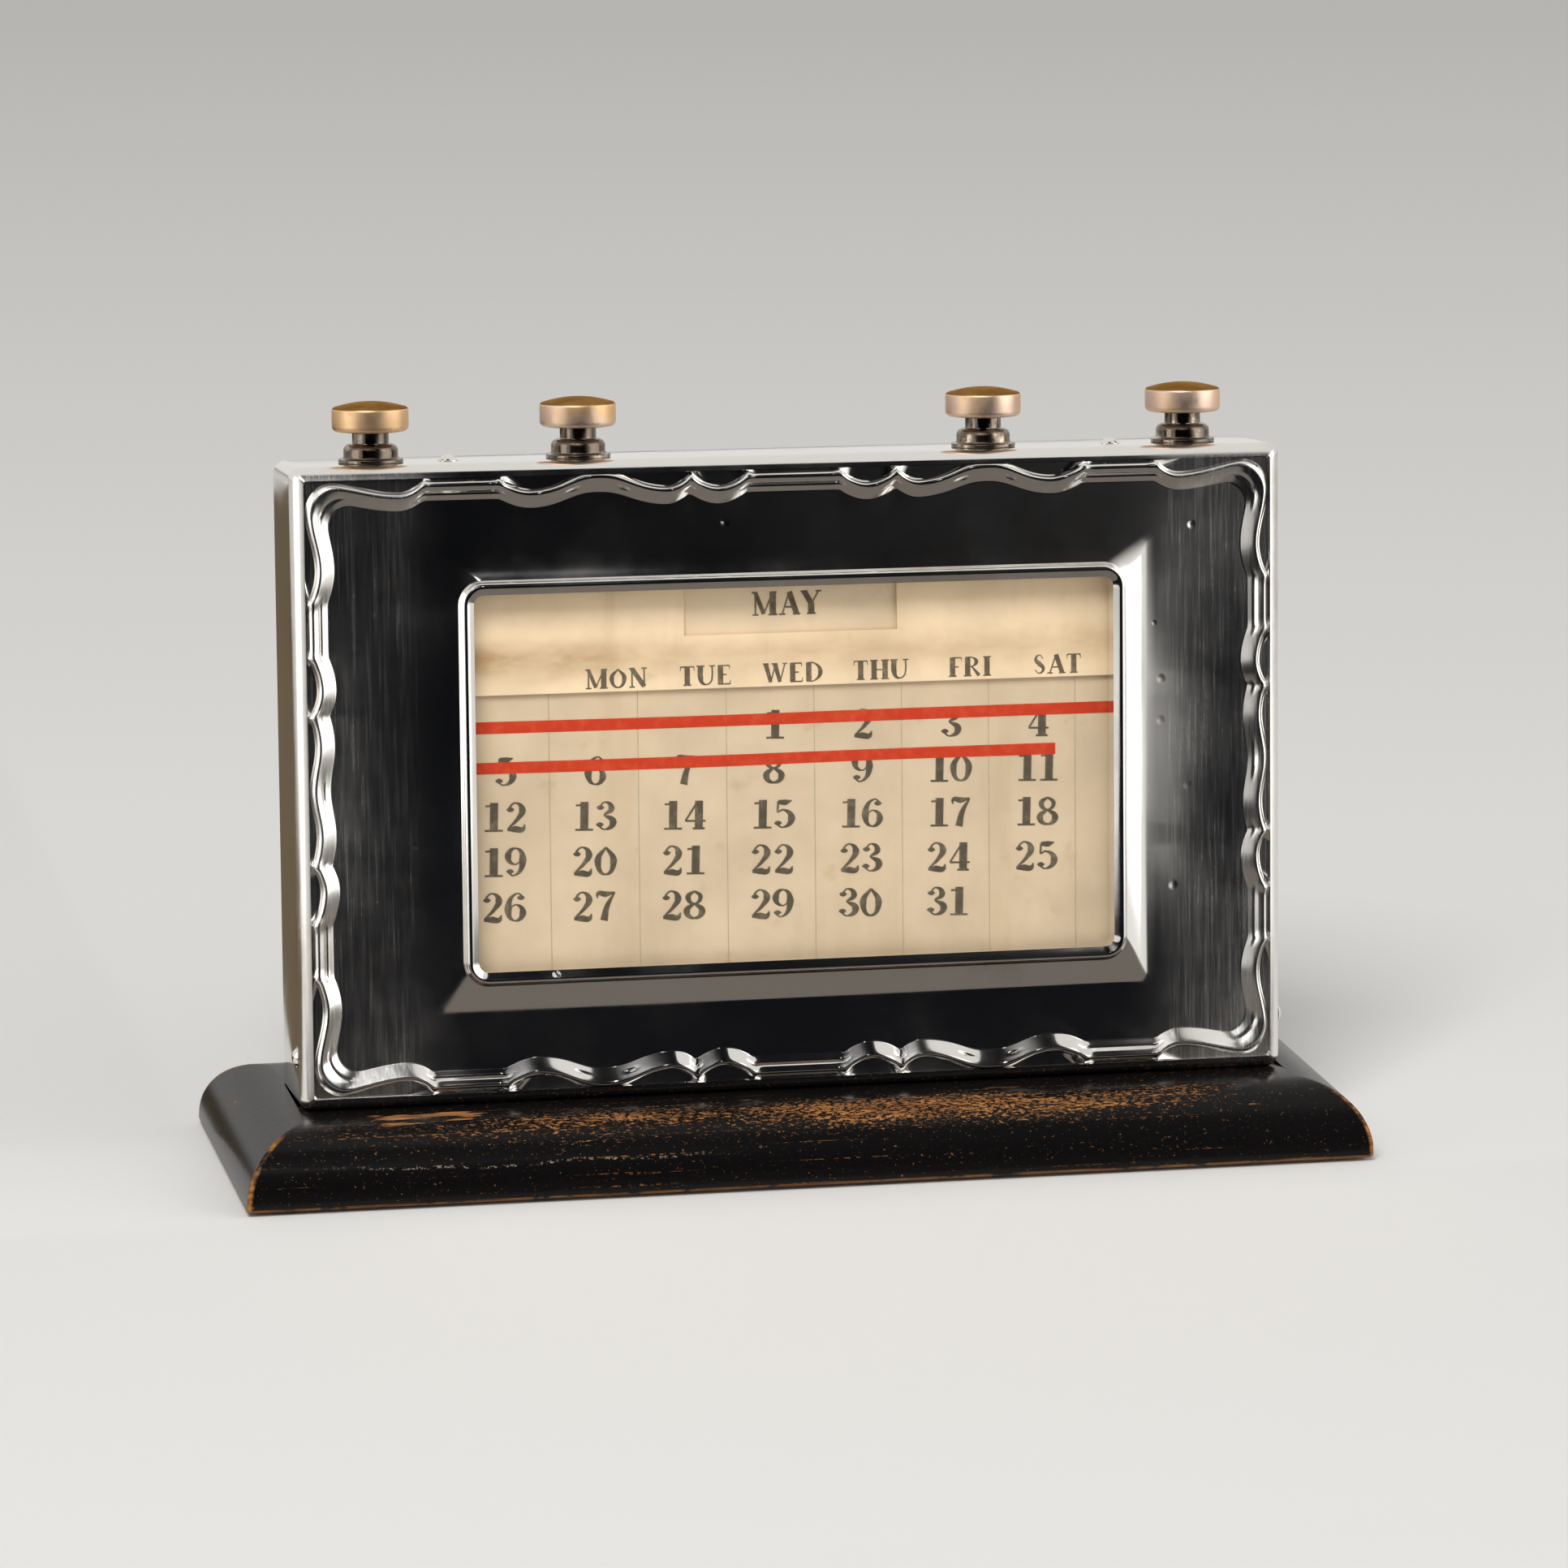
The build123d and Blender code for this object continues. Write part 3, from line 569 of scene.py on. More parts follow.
def plain_beech():
    look = Finish("plain_beech")
    grain = look.noise(1.0, 5, 0.6, on=look.stretched((60, 900, 900)))
    flecks = look.rise(look.noise(1.0, 3, on=look.stretched((500, 2600, 2600))), 0.6, 0.72)
    wood = look.mixed(grain, (0.50, 0.34, 0.19), (0.68, 0.52, 0.34))
    look.feed("Base Color", look.mixed(look.sums("MULTIPLY", flecks, 0.6), wood, (0.36, 0.21, 0.10)))
    look.feed("Roughness", look.rise(grain, 0.3, 0.7, 0.5, 0.7))
    look.bump(grain, 0.00005, 0.4)
    return look.material


def aged_paper(name, tint, stain_height=None):
    """Cream paper with mottling, foxing and faint runs, and a brown stain at a given height up the case."""
    look = Finish(name, Specular_IOR_Level=0.25)
    mottle = look.noise(70, 6, 0.6)
    foxing = look.rise(look.noise(160, 4, 0.6), 0.62, 0.76)
    runs = look.rise(look.noise(1.0, 4, 0.6, on=look.stretched((120, 120, 14))), 0.5, 0.75)
    pulp = look.noise(2600, 3, 0.6)
    paper = look.mixed(look.rise(mottle, 0.3, 0.7), [0.87 * c for c in tint], [1.05 * c for c in tint])
    paper = look.mixed(look.sums("MULTIPLY", runs, 0.28), paper, (0.47, 0.33, 0.17))
    paper = look.mixed(look.sums("MULTIPLY", foxing, 0.35), paper, (0.46, 0.30, 0.14))
    if stain_height:
        stain_z = (CASE @ Vector((0, CARD_FRONT, stain_height))).z
        off_band = look.sums("ABSOLUTE", look.sums("SUBTRACT", look.z, stain_z))
        wander = look.sums("MULTIPLY", look.noise(1.0, 3, 0.5, on=look.stretched((55, 55, 90))), 0.004)
        band = look.rise(look.sums("ADD", off_band, wander), 0.0018, 0.0056, 1.0, 0.0)
        clouds = look.noise(1.0, 5, 0.6, on=look.stretched((110, 110, 300)))
        blotches = look.rise(clouds, 0.30, 0.70, 0.40, 1.0)
        fading = look.rise(look.x, -0.032, -0.018, 1.0, 0.55)
        stain = look.sums("MULTIPLY", look.sums("MULTIPLY", band, blotches), fading)
        paper = look.mixed(stain, paper, (0.46, 0.29, 0.14))
    look.feed("Base Color", paper)
    look.feed("Roughness", look.rise(pulp, 0.3, 0.7, 0.7, 0.9))
    look.bump(pulp, 0.00002, 0.35)
    return look.material


def faded_ink(name, dark, pale):
    """Printing ink, rubbed paler in patches."""
    look = Finish(name, Specular_IOR_Level=0.2)
    rubbed = look.rise(look.noise(700, 5, 0.65), 0.42, 0.8)
    look.feed("Base Color", look.mixed(rubbed, dark, pale))
    look.feed("Roughness", look.rise(look.noise(1800, 2), 0.3, 0.7, 0.65, 0.85))
    return look.material


def window_glass():
    """Thin old glass with a trace of dust."""
    look = Finish("old_glass", Transmission_Weight=1.0, Alpha=0.08)
    dust = look.noise(300, 5, 0.6)
    look.feed("Base Color", look.mixed(look.rise(dust, 0.4, 0.8), (0.80, 0.84, 0.82), (0.62, 0.60, 0.55)))
    look.feed("Roughness", look.rise(dust, 0.4, 0.8, 0.03, 0.16))
    return look.material


def green_baize():
    look = Finish("green_baize", Specular_IOR_Level=0.15, Sheen_Weight=0.5)
    nap = look.noise(1900, 4, 0.7)
    worn = look.rise(look.noise(90, 4), 0.4, 0.7)
    pile = look.mixed(nap, (0.016, 0.045, 0.028), (0.045, 0.10, 0.065))
    look.feed("Base Color", look.mixed(look.sums("MULTIPLY", worn, 0.4), pile, (0.08, 0.10, 0.06)))
    look.feed("Roughness", look.rise(nap, 0.3, 0.7, 0.85, 0.98))
    look.bump(nap, 0.0002, 0.8)
    return look.material


def red_fibre():
    look = Finish("red_fibre", Specular_IOR_Level=0.3)
    specks = look.noise(2400, 4, 0.6)
    look.feed("Base Color", look.mixed(specks, (0.22, 0.09, 0.05), (0.40, 0.20, 0.12)))
    look.feed("Roughness", look.rise(specks, 0.3, 0.7, 0.6, 0.8))
    look.bump(specks, 0.00003, 0.4)
    return look.material


STAIN_HEIGHT = 54.4
PAPER_TINT = (0.70, 0.55, 0.375)
# The card's and the month strip's tints are partly their own warmer tone and partly painted light: they are lifted
# above the paper to undo the shade that the window's lip and recess cast on them.
CARD_TINT_WITH_PAINTED_LIGHT = (0.93, 0.72, 0.475)
STRIP_TINT_WITH_PAINTED_LIGHT = (0.90, 0.71, 0.48)
FINISHES = {
    "silver": polished_silver(),
    "gilt_brass": gilt_brass(),
    "bronzed_brass": bronzed_brass(),
    "brass": plain_brass(),
    "steel": drawn_steel(),
    "ebonised_wood": ebonised_wood(),
    "carcass_wood": plain_beech(),
    "paper": aged_paper("aged_paper", PAPER_TINT),
    "card": aged_paper("stained_card", CARD_TINT_WITH_PAINTED_LIGHT, STAIN_HEIGHT),
    "glass": window_glass(),
    "baize": green_baize(),
    "fibre": red_fibre(),
}
BLACK_INK = faded_ink("faded_black_ink", (0.095, 0.078, 0.052), (0.22, 0.18, 0.12))
PALE_INK = faded_ink("pale_grey_ink", (0.13, 0.10, 0.065), (0.28, 0.22, 0.14))
RULE_INK = faded_ink("rule_ink", (0.42, 0.34, 0.23), (0.56, 0.47, 0.33))
RED_INK = faded_ink("red_ink", (0.58, 0.045, 0.014), (0.66, 0.085, 0.030))

for subpart in frame["record"]["subparts"]:
    node_mesh = nodes[subpart["node"]].data
    node_mesh.materials.clear()
    node_mesh.materials.append(FINISHES[subpart["material_slot"]])
# The month strip's paper carries the same painted light as the card, lifted against the recess's shade.
strip_mesh = nodes["month_strip"].data
strip_mesh.materials.clear()
strip_mesh.materials.append(aged_paper("month_paper", STRIP_TINT_WITH_PAINTED_LIGHT))


# Silver front
def edge_rings():
    """The turned-back side, from the back edge's inside to the rounded front edge."""
    rings = [
        case_ring(SHEET, CASE_DEPTH, OUTLINE_CORNER - SHEET),
        case_ring(0, CASE_DEPTH, OUTLINE_CORNER),
    ]
    steps = 6
    for i in range(steps + 1):
        angle = EDGE_SWEEP * i / steps
        inset = EDGE_ROUND * (1 - math.cos(angle))
        depth = EDGE_ROUND * (1 - math.sin(angle))
        rings.append(case_ring(inset, depth, max(OUTLINE_CORNER - inset, LEAST_CORNER)))
    return rings


def bead_rings():
    """The wavy bead: up from a sunken gap beside the border to its crest, then down a slope to the face."""
    rings = [
        case_ring(EDGE_INSET + SUNK_MARGIN, SUNK_DEPTH, BORDER_CORNER, 0.0, PINCH_LIFT),
        case_ring(BEAD_OUTER - SUNK_MARGIN, SUNK_DEPTH, BEAD_CORNER, OUTER_WAVE, PINCH_LIFT),
    ]
    steps = 20
    for i in range(steps + 1):
        share = i / steps
        if share < BEAD_CREST_PLACE:
            climb = math.sin(share / BEAD_CREST_PLACE * math.pi / 2)
            depth = SUNK_DEPTH + (BEAD_CREST - SUNK_DEPTH) * climb
            pinch = PINCH_LIFT * (1 - (1 - PINCH_AT_CREST) * climb)
        else:
            run = (share - BEAD_CREST_PLACE) / (1 - BEAD_CREST_PLACE)
            fall = run**2 * (1 + BEAD_CREST_ROUND) / (run + BEAD_CREST_ROUND)
            depth = BEAD_CREST + (FACE_DEPTH - BEAD_CREST) * fall
            pinch = PINCH_AT_CREST * PINCH_LIFT * (1 - run)
        groove = BEAD_GROOVE_DEPTH * math.exp(-(((share - BEAD_GROOVE_PLACE) / BEAD_GROOVE_REACH) ** 2))
        inset = BEAD_OUTER + (BEAD_INNER - BEAD_OUTER) * share
        wave = OUTER_WAVE + (1 - OUTER_WAVE) * share
        rings.append(case_ring(inset, depth, BEAD_CORNER, wave, pinch, groove))
    rings.append(case_ring(BEAD_INNER + SUNK_MARGIN, FACE_DEPTH, BEAD_CORNER, 1.0))
    return rings


def face_rings(outer_ring, inner_ring):
    """The face between the bead's foot and the hollow's foot, a little dished, and more so at the sides."""
    rings = []
    steps = 12
    for i in range(1, steps):
        share = i / steps
        ring = []
        for outer_point, inner_point in zip(outer_ring, inner_ring):
            point = outer_point.lerp(inner_point, share)
            side_share = min(max((abs(point.x) - SIDE_DISH_START) / SIDE_DISH_REACH, 0.0), 1.0)
            from_middle = abs(point.z - WINDOW_CENTRE)
            side_share *= min(max((SIDE_DISH_HALF_HEIGHT - from_middle) / SIDE_DISH_FADE, 0.0), 1.0)
            dish = FACE_DISH + (SIDE_DISH - FACE_DISH) * side_share
            ring.append(point + Vector((0, dish * math.sin(share * math.pi), 0)))
        rings.append(ring)
    return rings


def window_rings():
    """The hollow that leaves the face at a crease, the sloping lip and the window's turned-in edge."""
    rings = []
    lip_foot = LIP_STEP - LIP_PROUD
    hollow_steps = 9
    for i in range(hollow_steps + 1):
        angle = HOLLOW_START + (HOLLOW_END - HOLLOW_START) * i / hollow_steps
        reach = (math.sin(angle) - math.sin(HOLLOW_START)) / (math.sin(HOLLOW_END) - math.sin(HOLLOW_START))
        climb = (math.cos(HOLLOW_START) - math.cos(angle)) / (math.cos(HOLLOW_START) - math.cos(HOLLOW_END))
        corner = HOLLOW_CORNER + (WINDOW_CORNER + LIP_WIDTH - HOLLOW_CORNER) * i / hollow_steps
        depth = FACE_DEPTH + (lip_foot - FACE_DEPTH) * climb
        rings.append(window_ring(LIP_WIDTH + HOLLOW_WIDTH * (1 - reach), depth, corner))
    climb_steps = 5
    for i in range(1, climb_steps + 1):
        angle = math.pi / 2 * i / climb_steps
        offset = LIP_CREST + (LIP_WIDTH - LIP_CREST) * math.cos(angle)
        depth = lip_foot - LIP_STEP * math.sin(angle)
        rings.append(window_ring(offset, depth, WINDOW_CORNER + offset))
    slope_steps = 6
    for i in range(1, slope_steps + 1):
        run = i / slope_steps
        offset = LIP_CREST * (1 - run)
        depth = LIP_SLOPE * run**2 * (1 + BEAD_CREST_ROUND) / (run + BEAD_CREST_ROUND) - LIP_PROUD
        rings.append(window_ring(offset, depth, WINDOW_CORNER + offset))
    rings.append(window_ring(0, FACE_DEPTH + SHEET, WINDOW_CORNER))
    return rings


def silver_front():
    """The stamped silver tray: side, rim, face, window moulding, and its inside."""
    outer = edge_rings() + bead_rings()
    inner = window_rings()
    rings = outer + face_rings(outer[-1], inner[0]) + inner
    rings.append(window_ring(HOLLOW_WIDTH, FACE_DEPTH + SHEET, WINDOW_CORNER + HOLLOW_WIDTH))
    rings.append(case_ring(SHEET, FACE_DEPTH + SHEET, OUTLINE_CORNER - SHEET))
    return skin(rings, "joined")


make_piece("silver_front", silver_front(), CASE, [FINISHES["silver"]], stands_for=["front_cover"])


# Knobs and collars
def knob():
    """A flat round knob with a low dome on a short neck."""
    lower_round = 0.7
    upper_round = 0.5
    neck_fillet = 0.2
    side_top = NECK_HEIGHT + KNOB_HEIGHT - KNOB_DOME
    dome_reach = KNOB_RADIUS - upper_round
    dome_radius = (dome_reach**2 + KNOB_DOME**2) / (2 * KNOB_DOME)
    dome_edge = math.degrees(math.acos(dome_reach / dome_radius))
    profile = [(0, 0), (NECK_RADIUS, 0)]
    profile += arc(NECK_RADIUS + neck_fillet, NECK_HEIGHT - neck_fillet, neck_fillet, 180, 90, 4)
    profile += arc(KNOB_RADIUS - lower_round, NECK_HEIGHT + lower_round, lower_round, -90, 0, 5)
    profile += arc(dome_reach, side_top - upper_round, upper_round, 0, dome_edge, 5)
    profile += arc(0, side_top + KNOB_DOME - dome_radius, dome_radius, dome_edge, 90, 12)[1:]
    bm = turned(profile)
    for face in bm.faces:
        height = face.calc_center_median().z
        if height < NECK_HEIGHT - neck_fillet / 2:
            face.material_index = 1
        if height > side_top - upper_round / 2:
            face.material_index = 2
    return bm


def collar():
    """A turned bush: a stem through the top rail, a flange on the case and a rounded drum."""
    arris = 0.15
    cove = 0.3
    profile = [(COLLAR_BORE, COLLAR_TOP), (COLLAR_BORE, -STEM_LENGTH)]
    profile += [(STEM_RADIUS, -STEM_LENGTH), (STEM_RADIUS, 0), (FLANGE_RADIUS - arris, 0)]
    profile += arc(FLANGE_RADIUS - arris, arris, arris, -90, 0, 3)[1:]
    profile += arc(FLANGE_RADIUS - arris, FLANGE_HEIGHT - arris, arris, 0, 90, 3)
    profile += arc(COLLAR_RADIUS + cove, FLANGE_HEIGHT + cove, cove, -90, -180, 4)
    profile += arc(COLLAR_RADIUS - COLLAR_ROUND, COLLAR_TOP - COLLAR_ROUND, COLLAR_ROUND, 0, 90, 7)
    profile += [(COLLAR_BORE, COLLAR_TOP)]
    return turned(profile)


KNOB_FINISHES = [FINISHES["gilt_brass"], FINISHES["bronzed_brass"], gilt_dome()]
for roller, place in ROLLER_PLACES.items():
    collar_foot = CASE @ Matrix.Translation((place, ROLLER_DEPTH, CASE_HEIGHT))
    knob_foot = CASE @ Matrix.Translation((place, ROLLER_DEPTH, CASE_HEIGHT + COLLAR_TOP + KNOB_GAP))
    make_piece(
        f"{roller}_turned_knob", knob(), knob_foot, KNOB_FINISHES,
        body=f"{roller}_roller", stands_for=[f"{roller}_knob"],
    )
    make_piece(
        f"{roller}_turned_collar", collar(), collar_foot, [FINISHES["bronzed_brass"]],
        stands_for=[f"{roller}_collar"],
    )


# Pins through the silver
def pin_head():
    """A domed pin head on a thin seat ring."""
    seat_height = 0.08
    seat_sink = 0.05
    seat_shoulder = 0.1
    dome_radius = (PIN_RADIUS**2 + PIN_HEIGHT**2) / (2 * PIN_HEIGHT)
    dome_edge = math.degrees(math.acos(PIN_RADIUS / dome_radius))
    profile = [(0, -PIN_ROOT), (PIN_SEAT, -seat_sink), (PIN_SEAT, seat_height / 2)]
    profile += [(PIN_RADIUS + seat_shoulder, seat_height), (PIN_RADIUS, 0.0)]
    profile += arc(0, PIN_HEIGHT - dome_radius, dome_radius, dome_edge, 90, 6)
    return turned(profile)


pin_places = []
for side in (-1, 1):
    pin_places.append(Matrix.Translation((side * TOP_PIN_PLACE, ROLLER_DEPTH, CASE_HEIGHT)))
    outward = Matrix.Rotation(math.radians(90 * side), 4, "Y")
    pin_places.append(Matrix.Translation((side * CASE_WIDTH / 2, SIDE_PIN_DEPTH, SIDE_PIN_HEIGHT)) @ outward)
pins = merged(*[(pin_head(), place) for place in pin_places])
make_piece("domed_pins", pins, CASE, [FINISHES["silver"]], stands_for=["cover_pins"])


# Screws in the back board
def slotted_screw():
    """A countersunk screw: a slot across its flat head, a cone and a plain shank."""
    slot_radius = SCREW_RADIUS - SCREW_SLOT_DEPTH
    half_slot = SCREW_SLOT / 2
    bm = bmesh.new()
    bmesh.ops.create_circle(bm, cap_ends=True, segments=SCREW_STEPS, radius=slot_radius)
    bmesh.ops.translate(bm, vec=(0, 0, -SCREW_SLOT_DEPTH), verts=bm.verts)
    for side in (-1, 1):
        whole = list(bm.verts) + list(bm.edges) + list(bm.faces)
        bmesh.ops.bisect_plane(bm, geom=whole, plane_co=(side * half_slot, 0, 0), plane_no=(1, 0, 0))
    rim = [edge for edge in bm.edges if edge.is_boundary]
    for height, radius in ((-SCREW_RADIUS + SCREW_SHANK, SCREW_SHANK), (-SCREW_LENGTH, SCREW_SHANK)):
        made = bmesh.ops.extrude_edge_only(bm, edges=rim)["geom"]
        for vert in (item for item in made if isinstance(item, bmesh.types.BMVert)):
            vert.co = Vector((*vert.co.xy.normalized() * radius, height))
        rim = [item for item in made if isinstance(item, bmesh.types.BMEdge) and item.is_boundary]
    bmesh.ops.edgeloop_fill(bm, edges=rim)
    cheeks = []
    for face in bm.faces:
        middle = face.calc_center_median()
        at_slot = abs(middle.z + SCREW_SLOT_DEPTH) < SCREW_SLOT_DEPTH / 2 and face.normal.z > 0.9
        if at_slot and abs(middle.x) > half_slot:
            cheeks.append(face)
    raised = bmesh.ops.extrude_discrete_faces(bm, faces=cheeks)["faces"]
    for vert in {vert for face in raised for vert in face.verts}:
        if abs(abs(vert.co.x) - half_slot) < half_slot / 10:
            vert.co.y = math.copysign(math.sqrt(SCREW_RADIUS**2 - half_slot**2), vert.co.y)
        else:
            vert.co.xy = vert.co.xy.normalized() * SCREW_RADIUS
        vert.co.z = 0
    return bm


# Each back screw: its place across and up the back, and the turn of its slot
BACK_SCREWS = (
    (-40.0, 4.9, 20),
    (40.0, 4.9, 75),
    (-40.0, 74.1, -40),
    (40.0, 74.1, 110),
    (-59.35, 39.5, 5),
    (59.35, 39.5, 60),
)
screw_heads = []
for across, height, slot_turn in BACK_SCREWS:
    to_back = Matrix.Translation((across, CASE_DEPTH, height)) @ Matrix.Rotation(-math.pi / 2, 4, "X")
    screw_heads.append((slotted_screw(), to_back @ Matrix.Rotation(math.radians(slot_turn), 4, "Z")))
make_piece(
    "slotted_back_screws", merged(*screw_heads), CASE, [FINISHES["brass"]],
    stands_for=["back_cover_screws"],
)


# Plinth
def plinth_ring(inset, height, corner):
    outline = rounded_outline(PLINTH_LENGTH / 2 - inset, PLINTH_WIDTH / 2 - inset, corner)
    return [Vector((point.x, point.y, height)) for point, out in outline]


def moulded_plinth():
    """The plinth: a square edge, a quarter-round moulding and a flat top with the case's seat sunk in it."""
    foot_arris = 0.25
    worn_corner = 0.35
    seat_gap = 0.1
    seat_half_width = CASE_WIDTH / 2 + seat_gap
    rings = [plinth_ring(foot_arris, BAIZE, worn_corner), plinth_ring(0, BAIZE + foot_arris, worn_corner)]
    steps = 14
    for i in range(steps + 1):
        angle = math.pi / 2 * i / steps
        inset = OVOLO * (1 - math.cos(angle))
        rings.append(plinth_ring(inset, PLINTH_TOP - OVOLO + OVOLO * math.sin(angle), worn_corner))
    front = CASE_FOOT.y / MM - seat_gap
    back = front + CASE_DEPTH + 2 * seat_gap
    outline = rounded_outline(seat_half_width, (back - front) / 2, worn_corner)
    middle = (front + back) / 2
    fall = CASE_BACK.z / CASE_BACK.y
    rings.append([Vector((point.x, middle + point.y, PLINTH_TOP)) for point, out in outline])
    seat = []
    for point, out in outline:
        y = middle + point.y
        seat.append(Vector((point.x, y, PLINTH_TOP + fall * (y - front))))
    rings.append(seat)
    return skin(rings, "filled")


make_piece(
    "moulded_plinth", moulded_plinth(), PART, [FINISHES["ebonised_wood"]],
    stands_for=["plinth"],
)


# Cloth under the plinth
def baize_sheet():
    """The cloth, set in from the plinth's edge on all sides."""
    rings = [plinth_ring(BAIZE_INSET, height, BAIZE_CORNER) for height in (0.0, BAIZE)]
    return skin(rings, "filled")


baize = make_piece(
    "baize_sheet", baize_sheet(), PART, [FINISHES["baize"]], stands_for=["base_baize"]
)


# Printing
def serif(x, y, reach=0.17):
    return [(x - reach, y, THIN), (x + reach, y, THIN)]


def stem(x, half=THICK):
    return [(x, 0.02, half), (x, 0.98, half)]


def ball(x, y):
    """A round terminal, drawn as a short stroke that swells and narrows."""
    half = 0.085
    return [(x, y + half * rise, half * math.sqrt(max(1 - rise**2, 0.01))) for rise in (-1, -0.7, 0, 0.7, 1)]


